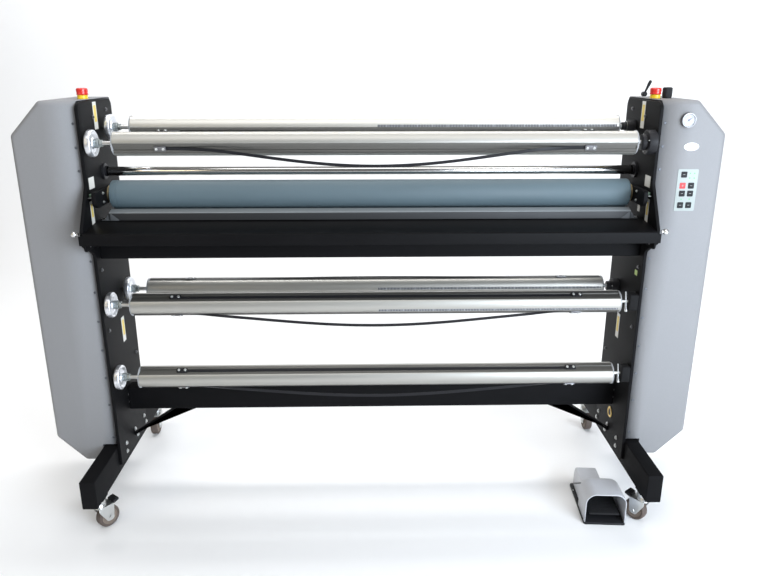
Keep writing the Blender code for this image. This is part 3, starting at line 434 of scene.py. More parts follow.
@made_once
def aluminium(name, painted_light_tone, roughness, y, z):
    """Anodised extrusion with draw lines and a clouded sheen; the flats, nearer the axis, are duller."""
    # painted light: the colour is scaled by a tone set for each shaft, a lighter or darker copy standing in for
    # how light falls on it
    colour = tone(tuple(palette().aluminium), painted_light_tone)
    finish = Finish(name, colour, roughness, 0.75)
    lines = finish.noise(420, 2.0, (0.012, 1, 1))
    cloud = finish.noise(3.0, 3.0, (0.4, 1, 1))
    drawn = finish.mix(lines * 0.4 + cloud * 0.3, tone(colour, 0.92), tone(colour, 1.06))
    across, up = finish.along("Y") - y, finish.along("Z") - z
    # painted shade: points nearer the axis than the round face, the flats and their grooves, take 0.30 of the
    # colour as a painted reflection of dark surroundings
    flat = (across * across + up * up).math("SQRT").below(TUBE_RADIUS - 0.0003)
    finish.set("Base Color", finish.mix(flat, drawn, tone(colour, 0.30)))
    finish.set("Roughness", roughness - 0.03 + lines * 0.06 + cloud * 0.06)
    return finish


@made_once
def plated(name, colour, roughness):
    """Plated or ground metal with small stains and hairline marks."""
    finish = Finish(name, colour, roughness, 1.0)
    stain = finish.noise(35, 4.0)
    hair = finish.noise(600, 1.0, (1, 0.05, 1))
    finish.set("Base Color", finish.mix(stain.math("POWER", 2.0) * 0.6, colour, tone(colour, 0.72)))
    finish.set("Roughness", roughness + stain * 0.12 + hair * 0.04)
    return finish


@made_once
def moulded(name, colour, roughness, grain, coat):
    """Moulded plastic with a fine grain and slight scuffs."""
    finish = Finish(name, colour, roughness, 0.0, coat)
    if max(colour) < 0.05:
        finish.set("Specular IOR Level", 0.2)
    scuff = finish.noise(40, 4.0)
    finish.set("Base Color", finish.mix(scuff.math("POWER", 2.0) * 0.4, colour, tone(colour, 1.25)))
    finish.set("Roughness", roughness + scuff * 0.12 - 0.04)
    finish.bump(finish.noise(grain, 1.0), 0.12, 0.0002)
    return finish


@made_once
def painted(name, colour, roughness):
    """Satin paint with a slightly uneven sheen and a few darker rubs."""
    finish = Finish(name, colour, roughness, 0.25, 0.0)
    rubs = finish.noise(14, 4.0, (0.25, 1, 1))
    finish.set("Base Color", finish.mix(rubs * 0.7, tone(colour, 1.15), tone(colour, 0.75)))
    finish.set("Roughness", roughness + rubs * 0.12 - 0.04)
    finish.bump(finish.noise(700, 1.0), 0.12, 0.0002)
    return finish


@made_once
def tread(name, colour):
    """Castor rubber: floor dust rubbed into it."""
    finish = Finish(name, colour, 0.6)
    dirt = finish.noise(60, 5.0, roughness=0.65)
    finish.set("Base Color", finish.mix(dirt.math("POWER", 1.5) * 0.7, colour, (0.10, 0.088, 0.078)))
    finish.set("Roughness", 0.5 + dirt * 0.25)
    finish.bump(dirt, 0.2, 0.0004)
    return finish


@made_once
def printed(name, colour, roughness):
    """A printed film or a blank label, slightly uneven."""
    finish = Finish(name, colour, roughness, 0.0, 0.15)
    uneven = finish.noise(80, 3.0)
    finish.set("Base Color", finish.mix(uneven * 0.5, tone(colour, 0.93), tone(colour, 1.04)))
    finish.set("Roughness", roughness + uneven * 0.1)
    finish.bump(uneven, 0.05, 0.0002)
    return finish


@made_once
def dial_face():
    """A white dial with a ring of ticks: the ticks are narrow bands of the angle about the gauge's centre."""
    finish = Finish("dial_face", (0.42, 0.44, 0.49), 0.6)
    across = finish.along("X") - GAUGE_AT[0]
    up = finish.along("Z") - GAUGE_AT[2]
    radius = (across * across + up * up).math("SQRT")
    angle = across.math("ARCTAN2", up)
    step = (angle * (40 / math.tau)).math("FRACT")
    near = (step - 0.5).math("ABSOLUTE")
    long_step = (angle * (8 / math.tau)).math("FRACT")
    near_long = (long_step - 0.5).math("ABSOLUTE")
    sweep = angle.math("ABSOLUTE").below(math.radians(138))
    outer = radius.below(0.0166) * (1 - radius.below(0.0146))
    deep = radius.below(0.0166) * (1 - radius.below(0.0130))
    rim = radius.below(0.0171) * (1 - radius.below(0.0167))
    ticks = (1 - near.below(0.40)) * outer + (1 - near_long.below(0.465)) * deep + rim
    finish.set("Base Color", finish.mix((ticks * sweep).clamped(), (0.42, 0.44, 0.49), (0.006, 0.006, 0.010)))
    return finish


@made_once
def ruler_face():
    """A dark scale with light marks: short lines every 5 mm and long ones every 50 mm along the shaft."""
    finish = Finish("ruler_face", (0.022, 0.024, 0.030), 0.5)
    here = finish.along("X")
    fine = ((here * 200).math("FRACT") - 0.5).math("ABSOLUTE")
    coarse = ((here * 20).math("FRACT") - 0.5).math("ABSOLUTE")
    marks = ((1 - fine.below(0.22)) * 0.85 + (1 - coarse.below(0.46))).clamped()
    finish.set("Base Color", finish.mix(marks, (0.022, 0.024, 0.030), (0.30, 0.31, 0.33)))
    return finish


@made_once
def clear_glass():
    """The gauge's window."""
    finish = Finish("clear_glass", (0.95, 0.97, 1.0), 0.04)
    finish.set("Alpha", 0.06)
    return finish


def black_plastic():
    return moulded("black_plastic", (0.014, 0.014, 0.016), 0.42, 900, 0.0)


def chrome():
    return plated("polished_chrome", (0.78, 0.77, 0.75), 0.07)


def zinc():
    return plated("zinc_plate", (0.66, 0.67, 0.66), 0.26)


def ground_steel():
    return plated("ground_steel", (0.55, 0.55, 0.54), 0.3)


def plate_coat():
    return black_powder("plate_coat", 0.56)


def beam_coat():
    return black_powder("beam_coat", 0.60)


def dark_steel():
    return plated("blackened_screw", (0.22, 0.22, 0.23), 0.38)


# --- Frame and covers ------------------------------------------------------------------------
HOUSING_FOLD = 0.016
TOP_CORNER = (0.096, 0.102)
LOW_CORNER = 0.093
NOTCH_OUT = FOOT_HIGH.x + 0.0047
NOTCH_TOP = FOOT_HIGH.z + 0.0047
COVER_SCREWS = (1.315, 1.243, 1.172, 0.883, 0.779, 0.678, 0.576, 0.475, 0.375, 0.251)


def cover_shell(sign):
    """The cover's sheet. A path round its outside, drawn in at front and back by a quarter circle, joins two
    flat faces. The notch over the foot bar has its own roof and wall."""
    wide, tall = TOP_CORNER
    bends = [
        (NOTCH_OUT, HOUSING_BOTTOM), (HOUSING_OUT - LOW_CORNER, HOUSING_BOTTOM),
        (HOUSING_OUT, HOUSING_BOTTOM + LOW_CORNER), (HOUSING_OUT, HOUSING_TOP - tall),
        (HOUSING_OUT - wide, HOUSING_TOP), (HOUSING_IN, HOUSING_TOP),
    ]
    closed = bends + [(HOUSING_IN - 1, HOUSING_TOP), (HOUSING_IN - 1, HOUSING_BOTTOM)]
    outline = corners(closed, [0, 0.02, 0.02, 0.02, 0.02, 0, 0, 0], 8)
    angle = np.linspace(0, math.pi / 2, 9)
    draw = HOUSING_FOLD * (1 - np.sin(angle))
    go = HOUSING_FOLD * (1 - np.cos(angle))
    depths = np.concatenate([draw, draw[::-1]])
    along = np.concatenate([HOUSING_FRONT + go, HOUSING_REAR - go[::-1]])
    rings = np.stack([inset(outline, depth)[:-2] for depth in depths])
    grid = to_axis(sign * rings[..., 0], rings[..., 1], along[:, None], "Y")
    shell = skin(grid, ring=False)
    notch = np.array([(HOUSING_IN, NOTCH_TOP), (NOTCH_OUT, NOTCH_TOP)])
    for row, y in ((0, HOUSING_FRONT), (-1, HOUSING_REAR)):
        face = np.vstack([grid[row], to_axis(sign * notch[:, 0], notch[:, 1], y, "Y")])
        shell = shell + Shape(face, [list(range(len(face)))])
    roof = [(sign * x, y, NOTCH_TOP) for x, y in ((HOUSING_IN, HOUSING_FRONT), (NOTCH_OUT, HOUSING_FRONT),
                                                  (NOTCH_OUT, HOUSING_REAR), (HOUSING_IN, HOUSING_REAR))]
    wall = np.vstack([grid[:, 0], [roof[2], roof[1]]])
    return shell + Shape(roof, [[0, 1, 2, 3]]) + Shape(wall, [list(range(len(wall)))])


def cover(side, sign):
    piece(f"cover_{side}", cover_shell(sign), silver_powder(), "frame",
          (f"housing_{side}",), wall=COVER_WALL, sharp=40)
    x = sign * (HOUSING_IN + COVER_SCREW_IN)
    front = joined(screw_head((x, HOUSING_FRONT + 0.0002, z), "Y", -1, 0.0042, 0.0022) for z in COVER_SCREWS)
    back = joined(screw_head((x, HOUSING_REAR - 0.0002, z), "Y", 1, 0.0042, 0.0022) for z in COVER_SCREWS)
    piece(f"cover_screws_{side}", front + back, plated("cover_screw", (0.17, 0.18, 0.20), 0.5), "frame")


def plate_outline():
    """The side plate's outline in (y, z), with the nose that carries the table."""
    rear, bottom = PLATE_HIGH.y, PLATE_LOW.z + 0.015
    return corners(
        [(PLATE_FRONT, bottom), (rear, bottom), (rear, PLATE_HIGH.z), (PLATE_FRONT, PLATE_HIGH.z),
         (PLATE_FRONT, 1.130), (NOSE_FRONT, 1.000), (NOSE_FRONT, 0.956), (-0.2299, 0.935),
         (PLATE_FRONT, 0.910)],
        [0.002, 0.002, 0.025, 0.025, 0.02, 0.008, 0.012, 0.010, 0.02],
    )


# (y, z) of the bolts on a plate's inner face: dark ones, and the bright ones of the lower beam and the foot
PLATE_BOLTS = ((-0.128, 0.921), (-0.128, 0.905), (-0.0735, 1.328), (0.045, 1.345), (-0.155, 0.850),
    (-0.155, 0.640),
               (0.070, 0.640), (0.070, 0.470))
BEAM_BOLTS = ((-0.049, 0.357), (-0.049, 0.328), (-0.016, 0.357), (-0.016, 0.328), (0.0775, 0.203),
    (0.0925, 0.171),
              (-0.0275, 0.204), (-0.0085, 0.171), (-0.1265, 0.202), (-0.1285, 0.171))


def side_plate(side, sign):
    low, high = span(sign, PLATE_IN, PLATE_OUT)
    piece(f"plate_{side}", slab(plate_outline(), "X", low, high, 0.0009), plate_coat(), "frame",
          (f"side_plate_{side}",))
    inner = sign * PLATE_IN
    for name, finish, radius, bolts in (("plate_bolts", dark_steel(), 0.0062, PLATE_BOLTS),
        ("beam_bolts", zinc(), 0.0078, BEAM_BOLTS)):
        shape = joined(washer_bolt((inner, y, z), "X", -sign, radius, 0.0045) for y, z in bolts)
        piece(f"{name}_{side}", shape, finish, "frame")


def labels(side, sign):
    """Blank stickers on the plate's inner face: (y, z, width, height, colour)."""
    inner = sign * PLATE_IN
    yellow, white = (0.80, 0.60, 0.10), (0.72, 0.71, 0.66)
    stickers = [(-0.172, 1.042, 0.024, 0.075, white), (-0.026, 0.597, 0.028, 0.090, white),
        (-0.052, 1.331, 0.030, 0.085, white)]
    stickers += [(y, z + 0.006, wide - 0.010, tall - 0.034, yellow) for y, z, wide, tall, _ in stickers]
    stickers.append((-0.150, 1.132, 0.044, 0.036, white))
    if sign > 0:
        stickers += [(-0.139, 0.826, 0.022, 0.018, (0.42, 0.58, 0.12)), (-0.100, 1.040, 0.020, 0.030, white)]
    for number, (y, z, wide, tall, colour) in enumerate(stickers):
        name = {yellow: "yellow_label", white: "white_label"}.get(colour, "green_label")
        low, high = sorted((inner, inner - sign * (0.0008 if colour == yellow else 0.0005)))
        shape = block((low, high), (y - wide / 2, y + wide / 2), (z - tall / 2, z + tall / 2), 0.0002,
            0.0015, "X", 1)
        piece(f"sticker_{number}_{side}", shape, printed(name, colour, 0.45), "frame")


def frame_bars():
    coat = beam_coat()
    low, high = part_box("front_beam")
    x, y, z = zip(low, high)
    piece("beam_front", block(x, y, z, 0.0025, 0.0025, "X"), coat, "frame", ("front_beam",))
    low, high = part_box("lower_beam")
    reach = high.x
    beam_z = (0.300, 0.385)
    beam = block((-reach, reach), (low.y, high.y), beam_z, 0.0025, 0.0025, "X")
    middle = (low.y + high.y) / 2
    bend = PLATE_IN - 0.161
    strap = [(bend - 0.089, 0.2998), (bend, 0.2998), (reach, 0.193), (reach, 0.1825), (bend, 0.293),
        (bend - 0.089, 0.293)]
    strap = corners(strap, [0.0005, 0.004, 0.0005, 0.0005, 0.009, 0.0005], 4)
    braces = joined(
        slab(strap * (sign, 1), "Y", middle - 0.008, middle + 0.008, 0.0006) for _, sign in SIDES
    )
    piece("beam_lower", beam + braces, coat, "frame", ("lower_beam",))
    bolts = joined(
        washer_bolt((sign * x, middle, 0.293), "Z", -1, 0.008, 0.006) for _, sign in SIDES
        for x in (0.655, 0.690)
    )
    piece("brace_bolts", bolts, dark_steel(), "frame")


def foot(side, sign):
    coat = beam_coat()
    low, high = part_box(f"foot_bar_{side}")
    bar = block((low.x, high.x), (low.y, high.y), (FOOT_BOTTOM, high.z), 0.0028, 0.0035, "Y")
    middle = (low.x + high.x) / 2
    pads = joined(
        block((low.x + 0.001, high.x - 0.001), (y - 0.023, y + 0.023),
            (FOOT_BOTTOM - 0.004, FOOT_BOTTOM + 0.001), 0.0006)
        for y in (-CASTOR_Y, CASTOR_Y)
    )
    piece(f"foot_{side}", bar + pads, coat, "frame", (f"foot_bar_{side}",))
    nuts = [
        washer_bolt((middle + dx, y + dy, FOOT_BOTTOM - 0.004), "Z", -1, 0.0038, 0.0032)
        for y in (-CASTOR_Y, CASTOR_Y) for dx in (-0.019, 0.019) for dy in (-0.018, 0.018)
    ]
    piece(f"castor_bolts_{side}", joined(nuts), zinc(), "frame")


# --- Rollers ---------------------------------------------------------------------------------
def roller_profile(half, radius, journal, reach, edge=0.0018):
    """Half-lengths and radii of a roller, its rubber's ends rounded."""
    right = [(half - edge, radius), (half - edge * 0.3, radius - edge * 0.3), (half, radius - edge),
        (half, journal),
             (reach - 0.0008, journal), (reach, journal - 0.0008), (reach, 0)]
    return np.array([(-along, r) for along, r in right[::-1]] + right)


def rollers():
    for node, body in (("lower_nip_roller", "lower_roller"), ("upper_nip_roller", "upper_roller")):
        low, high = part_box(node)
        centre = (0, *middle_of(low, high)[1:])
        radius = (high.z - low.z) / 2
        steel = roller_profile(RUBBER_HALF - 0.0005, radius - 0.012, 0.0119, high.x, 0.0008)
        piece(node.replace("nip", "steel"), turned(steel, "X", centre, 64), ground_steel(),
              body, (node,))
        half = RUBBER_HALF
        inner = radius - 0.0115
        edge = 0.002
        profile = [
            (-half, inner), (-half, radius - edge), (-half + edge * 0.3, radius - edge * 0.3),
            (-half + edge, radius),
            (-0.8155, radius), (-0.8150, radius - 0.0014), (-0.8130, radius - 0.0014), (-0.8125, radius),
            (0.0, radius), (half - edge, radius), (half - edge * 0.3, radius - edge * 0.3),
            (half, radius - edge), (half, inner),
        ]
        piece(node.replace("nip", "rubber"), turned(profile, "X", centre, 96), roller_rubber(), body)
    low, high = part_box("idler_roller")
    centre = (0, *middle_of(low, high)[1:])
    profile = roller_profile(0.860, (high.z - low.z) / 2, 0.0079, high.x, 0.0012)
    piece("idler_bar", turned(profile, "X", centre, 48), chrome(), "idler", ("idler_roller",))


def roller_arms(side, sign):
    low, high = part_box(f"roller_arm_{side}")
    outline = corners([(low.y, low.z), (high.y, low.z), (high.y, high.z), (low.y, high.z)],
        [0.0225, 0.006, 0.006, 0.010])
    arm = slab(outline, "X", low.x, high.x, 0.001)
    piece(f"lift_arm_{side}", arm, plate_coat(), "roller_lift", (f"roller_arm_{side}",))
    inner = min(abs(low.x), abs(high.x))
    centre = (sign * inner, NIP_Y, UPPER_NIP_Z)
    reach = 0.0085
    bearing = np.array([(0, 0.0125), (0, 0.029), (-0.004, 0.029), (-0.006, 0.027), (-reach, 0.024),
        (-reach, 0.0125)])
    piece(f"bearing_{side}", turned(bearing * (sign, 1), "X", centre, 40),
          plated("bearing_brass", (0.62, 0.50, 0.30), 0.30), "roller_lift")
    bolts = [washer_bolt((sign * inner, y, z), "X", -sign, 0.005, 0.004) for y in (-0.150, -0.020)
        for z in (1.072, 1.100)]
    piece(f"arm_bolts_{side}", joined(bolts), zinc(), "roller_lift")
    flange = np.array([(0, 0.0165), (0, 0.026), (-0.006, 0.026), (-0.0065, 0.0255), (-0.0065, 0.017),
        (-0.013, 0.0165)])
    at = (sign * PLATE_IN, IDLER_Y, IDLER_Z)
    piece(f"idler_flange_{side}", turned(flange * (sign, 1), "X", at, 40), black_plastic(), "frame")


# --- Film shafts -----------------------------------------------------------------------------
def tube_section(first_flat, radius=TUBE_RADIUS):
    """A circle with three flats 120 degrees apart; each flat has a groove with an undercut lip along it."""
    half = math.radians(FLAT_HALF_ANGLE)
    distance = radius * math.cos(half)
    groove, depth = GROOVE_WIDTH / 2, GROOVE_DEPTH
    outline = []
    for turn in range(3):
        middle = math.radians(first_flat + 120 * turn)
        out = np.array([-math.cos(middle), math.sin(middle)])
        side = np.array([math.sin(middle), math.cos(middle)])
        flat = [(-0.0172, 0), (-groove - 0.0005, 0), (-groove, -0.0005), (-groove, -depth), (groove, -depth),
                (groove, -0.0005), (groove + 0.0005, 0), (0.0172, 0)]
        outline += [side * a + out * (distance + b) for a, b in flat]
        angle = middle + half + (math.radians(120) - 2 * half) * np.linspace(0.03, 0.97, 15)
        outline += list(np.stack([-np.cos(angle), np.sin(angle)], 1) * radius)
    return np.array(outline)


def film_shaft(name, y, z, flat):
    body = f"shaft_{name}"
    # painted light: the upper rear shaft is painted at 1.5 times the colour and the middle rear shaft slightly
    # darker, for how light falls on each
    painted_light_factor = {"upper_rear": 1.5, "middle_rear": 0.95}.get(name, 1.0)
    tube = slab(tube_section(flat) + (y, z), "X", TUBE_LEFT + 0.004, TUBE_RIGHT - 0.004, 0.0004, 1)
    piece(f"tube_{name}", tube, aluminium(f"anodised_{name}", painted_light_factor, 0.38, y, z), body,
        (f"film_shaft_{name}",))
    plug = np.array([(0, 0.0), (0, 0.0345), (-0.002, 0.0365), (-0.0045, 0.0365), (-0.0045, 0.0)])
    caps = turned(plug + (TUBE_LEFT + 0.0045, 0), "X", (0, y, z), 48)
    caps = caps + turned(plug * (-1, 1) + (TUBE_RIGHT - 0.0045, 0), "X", (0, y, z), 48)
    piece(f"end_plugs_{name}", caps, moulded("grey_plastic", (0.30, 0.31, 0.32), 0.45, 800, 0.0), body)
    left = -(PLATE_OUT - 0.0015)
    rod = [(left, 0), (left, 0.0062), (left + 0.0008, 0.007), (TUBE_LEFT + 0.001, 0.007),
        (TUBE_LEFT + 0.001, 0.0)]
    right = PLATE_IN - 0.004
    stub = [(TUBE_RIGHT - 0.001, 0), (TUBE_RIGHT - 0.001, 0.007), (right - 0.0008, 0.007),
        (right, 0.0062), (right, 0)]
    collar = [(TUBE_RIGHT - 0.001, 0.0069), (TUBE_RIGHT - 0.001, 0.0125), (TUBE_RIGHT + 0.009, 0.0125),
              (TUBE_RIGHT + 0.010, 0.0115), (TUBE_RIGHT + 0.010, 0.0069)]
    if name in LATCHED:
        stub = [(TUBE_RIGHT - 0.001, 0), (TUBE_RIGHT - 0.001, 0.0022), (right, 0.0022), (right, 0)]
        collar = [(TUBE_RIGHT - 0.001, 0), (TUBE_RIGHT - 0.001, 0.0048), (right - 0.006, 0.0028),
            (right - 0.006, 0)]
    spindle = turned(rod, "X", (0, y, z), 32) + turned(stub, "X", (0, y, z), 32)
    piece(f"spindle_{name}", spindle, ground_steel(), body)
    tip = moulded("cone_white", (0.66, 0.66, 0.63), 0.4, 700, 0.0) if name in LATCHED else zinc()
    piece(f"collar_{name}", turned(collar, "X", (0, y, z), 32), tip, body)


def strip_path(flat, sag, wall=0.002, steps=70):
    """The strip's middle line leaves its groove by sag * sin(pi s)^1.6: first straight out, then down."""
    angle = math.radians(flat)
    out = np.array([0, -math.cos(angle), math.sin(angle)])
    side = np.array([0, math.sin(angle), math.cos(angle)])
    down = np.array([0, 0, -1.0]) if out[2] < 0 else out
    share = np.linspace(0, 1, steps)[:, None]
    offset = sag * np.sin(math.pi * share) ** 1.6
    clear = np.minimum(offset, 0.013)
    middle = np.array([CLIP_LEFT, 0, 0]) * (1 - share) + np.array([CLIP_RIGHT, 0, 0]) * share
    centre = middle + out * (FLAT_DISTANCE - GROOVE_DEPTH + 0.0003 + wall / 2 + clear) + down * (offset - clear)
    return centre, out, side


def strip(flat, sag, centre_at, wide=STRIP_WIDE, wall=STRIP_WALL):
    """A flat section with rounded edges carried along the strip's path. Where the strip hangs free it twists
    until its broad side faces the front."""
    centre, out, side = strip_path(flat, sag, wall)
    share = np.linspace(0, 1, len(centre))
    free = np.clip(sag * np.sin(math.pi * share) ** 1.6 / 0.012, 0, 1)
    free = free * free * (3 - 2 * free) if out[2] < 0 else free * 0
    turn = np.radians(flat) * free
    out = out * np.cos(turn)[:, None] - side * np.sin(turn)[:, None]
    side = np.cross((1.0, 0, 0), out) * -1
    angle = np.linspace(0, math.tau, 16, endpoint=False)
    a = np.sign(np.cos(angle)) * np.abs(np.cos(angle)) ** 0.35 * wide / 2
    b = np.sign(np.sin(angle)) * np.abs(np.sin(angle)) ** 0.35 * wall / 2
    ring = a[None, :, None] * side[:, None] + b[None, :, None] * out[:, None]
    return skin(centre[:, None] + ring + np.array(centre_at))


def clip(flat, at, x):
    """A small clamp over the strip's end, with two screws, turned to lie on its flat."""
    turn = Matrix.Translation(Vector((x, at[1], at[2]))) @ Matrix.Rotation(math.radians(-(flat - 90)), 4, "X")
    plate = block((-0.018, 0.018), (-0.0085, 0.0085), (0.0334, 0.0378), 0.0008, 0.003)
    heads = joined(screw_head((dx, 0, 0.0376), "Z", 1, 0.0046, 0.0024) for dx in (-0.0105, 0.0105))
    return plate.placed(turn), heads.placed(turn)


HANGING = {"upper_front": 0.062, "upper_rear": 0.026, "middle_front": 0.044, "middle_rear": 0.007,
    "lower_front": 0.040}
FLUSH = {"middle_front": (60,), "lower_front": (60,), "middle_rear": (-32,), "upper_front": (98,)}
RULERS = {"upper_rear": 8, "middle_front": -21, "middle_rear": 8}


def grip_strips(name, y, z, flat):
    body = f"shaft_{name}"
    rubber = moulded("strip_rubber", (0.012, 0.012, 0.014), 0.34, 900, 0.0)
    at = (0, y, z)
    hanging = strip(flat, HANGING[name], at)
    piece(f"strip_{name}", hanging, rubber, body, (f"grip_strip_{name}",))
    ends = (CLIP_LEFT, CLIP_RIGHT)
    clamps, heads = zip(*(clip(flat, at, x) for x in ends))
    piece(f"strip_clamps_{name}", joined(clamps), dark_steel(), body)
    piece(f"clamp_screws_{name}", joined(heads), zinc(), body)
    for angle in FLUSH.get(name, ()):
        piece(f"strip_flush_{name}", strip(angle, STRIP_WALL, at), rubber, body)
        clamps, heads = zip(*(clip(angle, at, x) for x in ends))
        piece(f"flush_clamps_{name}", joined(clamps), black_plastic(), body)
        piece(f"flush_screws_{name}", joined(heads), zinc(), body)
    if name in RULERS:
        angle = math.radians(RULERS[name])
        radius = TUBE_RADIUS + 0.0001
        spread = np.linspace(-0.10, 0.10, 7) + angle
        section = np.stack([-np.cos(spread), np.sin(spread)], 1)
        outer, inner = section * (radius + 0.0003), section[::-1] * (radius - 0.0002)
        ring = np.vstack([outer, inner]) + (y, z)
        x = np.linspace(0.02, TUBE_RIGHT - 0.012, 3)
        tape = skin(to_axis(ring[None, :, 0], ring[None, :, 1], x[:, None], "X"))
        piece(f"scale_{name}", tape, ruler_face(), body)


def tension_wheel(name, y, z, _):
    """A hand wheel: domed face, ten shallow finger lobes round its rim, a knurled hub and a lock nut."""
    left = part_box(f"tension_wheel_{name}")[0].x
    rim = 0.0415
    right = left + 0.020
    body = f"wheel_{name}"
    profile = np.vstack([
        [(left + 0.001, 0.0073), (left, 0.0085), (left, 0.030)],
        arc((left + 0.006, rim - 0.006), 0.006, 180, 90, 6),
        arc((right - 0.006, rim - 0.006), 0.006, 90, 0, 6), [(right - 0.002, 0.031), (right - 0.0045, 0.027),
        (right - 0.0045, 0.0185), (right - 0.001, 0.0160), (right - 0.001, 0.0073)],
    ])
    lobes = lambda angle: 1 - 0.022 * (1 - np.abs(np.cos(5 * angle)) ** 0.7)
    wheel = turned(profile, "X", (0, y, z), 120, lobes)
    piece(f"hand_wheel_{name}", wheel, plated("wheel_silver", (0.80, 0.82, 0.86), 0.30), body,
          (f"tension_wheel_{name}",))
    knurl = lambda angle: 1 - 0.035 * np.abs(np.sin(18 * angle))
    hub = [(right - 0.002, 0.0074), (right - 0.002, 0.0130), (right, 0.0140), (right + 0.013, 0.0140),
           (right + 0.014, 0.0130), (right + 0.014, 0.0074)]
    nut = [(right + 0.0145, 0.0074), (right + 0.0145, 0.0105), (right + 0.0155, 0.0115),
        (right + 0.0225, 0.0115),
           (right + 0.0235, 0.0105), (right + 0.0235, 0.0074)]
    piece(f"wheel_hub_{name}", turned(hub, "X", (0, y, z), 144, knurl) + turned(nut, "X", (0, y, z), 6),
          plated("hub_grey_metal", (0.34, 0.37, 0.37), 0.34), body)


def holder(name, y, z, _):
    low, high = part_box(f"shaft_holder_{name}")
    node = (f"shaft_holder_{name}",)
    right = high.x
    plastic = black_plastic()
    if name in LATCHED:
        shape = block((low.x, right), (low.y, high.y), (low.z, high.z), 0.0015, 0.008, "X")
        piece(f"latch_block_{name}", shape, moulded("block_black", (0.004, 0.004, 0.0045), 0.7, 900,
            0.0), "frame", node)
        bar = [(-0.036, 0), (-0.036, 0.0036), (-0.0345, 0.0050), (-0.028, 0.0052), (-0.026, 0.0042),
            (0.0335, 0.0017),
               (0.034, 0.0012), (0.034, 0)]
        lean = Matrix.Translation((low.x - 0.0062, y, z)) @ Matrix.Rotation(math.radians(-6), 4, "Y")
        piece(f"latch_lever_{name}", turned(bar, "Z", (0, 0, 0), 32).placed(lean),
            plated("lever_bright", (0.78, 0.78, 0.77), 0.22),
              "frame")
        return
    radius = (high.z - low.z) / 2
    nose = max(radius * 0.65, 0.0103)
    left = low.x
    step = left + 0.015
    profile = [
        (left, 0.0076), (left, nose - 0.002), (left + 0.0006, nose - 0.0006), (left + 0.002, nose),
        (step, nose),
        (step, radius - 0.003), (step + 0.0009, radius - 0.0009), (step + 0.003, radius),
        (right - 0.002, radius),
        (right, radius - 0.002), (right, 0.0076),
    ]
    piece(f"holder_cup_{name}", turned(profile, "X", (0, y, z), 64), plastic, "frame", node)
    ring = np.array([(0, radius * 0.86), (0, radius * 0.80), (-0.0008, radius * 0.80),
        (-0.0008, radius * 0.86)])
    bright = turned(ring + (step + 0.0002, 0), "X", (0, y, z), 48)
    bolts = [
        screw_head((step, y + radius * 0.82 * math.cos(t), z + radius * 0.82 * math.sin(t)), "X", -1,
            0.0022, 0.0018)
        for t in np.radians([45, 165, 285])
    ]
    piece(f"holder_ring_{name}", joined(bolts) if radius > 0.022 else bright, zinc(), "frame")


# --- Table -----------------------------------------------------------------------------------
TABLE_FRONT, TABLE_REAR = -0.2775, -0.1345
TABLE_FRONT_Z, TABLE_REAR_Z = 0.996, 1.011
PIVOT = (-0.2275, 0.950)


def table_top(y):
    return TABLE_FRONT_Z + (TABLE_REAR_Z - TABLE_FRONT_Z) * (y - TABLE_FRONT) / (TABLE_REAR - TABLE_FRONT)


def table():
    """A folded sheet: its section is the top, a rounded bend and the front lip; cheeks close the ends."""
    coat = black_powder("table_coat", 0.48)
    reach = PLATE_IN - 0.0003
    foot_z = TABLE_FRONT_Z - 0.036
    thick = 0.004
    section = corners([
        (TABLE_REAR, TABLE_REAR_Z - thick), (TABLE_REAR, TABLE_REAR_Z), (TABLE_FRONT, TABLE_FRONT_Z),
        (TABLE_FRONT, foot_z),
        (TABLE_FRONT + thick, foot_z), (TABLE_FRONT + thick, table_top(TABLE_FRONT + thick) - thick),
    ], [0.0012, 0.0012, 0.0065, 0.0008, 0.0008, 0.003], 8)
    sheet = slab(section, "X", -reach, reach, 0.0006)
    wide = reach + 0.0118
    lip = corners([(TABLE_FRONT + 0.0003, foot_z + 0.0003), (TABLE_FRONT + thick, foot_z + 0.0003),
                   (TABLE_FRONT + thick, TABLE_FRONT_Z - 0.006),
                   (TABLE_FRONT + 0.0003, TABLE_FRONT_Z - 0.006)], 0.001)
    ends = joined(slab(lip, "X", *span(sign, reach - 0.01, wide), 0.0006) for _, sign in SIDES)
    back = TABLE_REAR - 0.010
    cheek = corners([
        (TABLE_FRONT + 0.0037, table_top(TABLE_FRONT) - 0.002), (TABLE_FRONT + 0.0037, PIVOT[1] - 0.012),
        (PIVOT[0] + 0.018, PIVOT[1] - 0.012), (back, table_top(back) - 0.002),
    ], [0.0005, 0.012, 0.016, 0.0005])
    cheeks = joined(slab(cheek, "X", *span(sign, reach - 0.006, reach - 0.0003), 0.0006) for _, sign in SIDES)
    piece("table_sheet", sheet + ends + cheeks, coat, "table", ("infeed_table",))
    pins = joined(
        turned(np.array([(reach - 0.003, 0), (reach - 0.003, 0.006), (PLATE_OUT - 0.001, 0.006),
            (PLATE_OUT, 0.005),
                         (PLATE_OUT, 0)]) * (sign, 1), "X", (0, *PIVOT), 24) for _, sign in SIDES
    )
    piece("table_pins", pins, ground_steel(), "table")
    rivets = joined(
        screw_head((sign * (reach - 0.006), y, z), "X", -sign, 0.004, 0.002)
        for _, sign in SIDES for y, z in ((-0.255, 0.980), (-0.235, 0.950), (-0.190, 0.985))
    )
    piece("table_rivets", rivets, dark_steel(), "table")


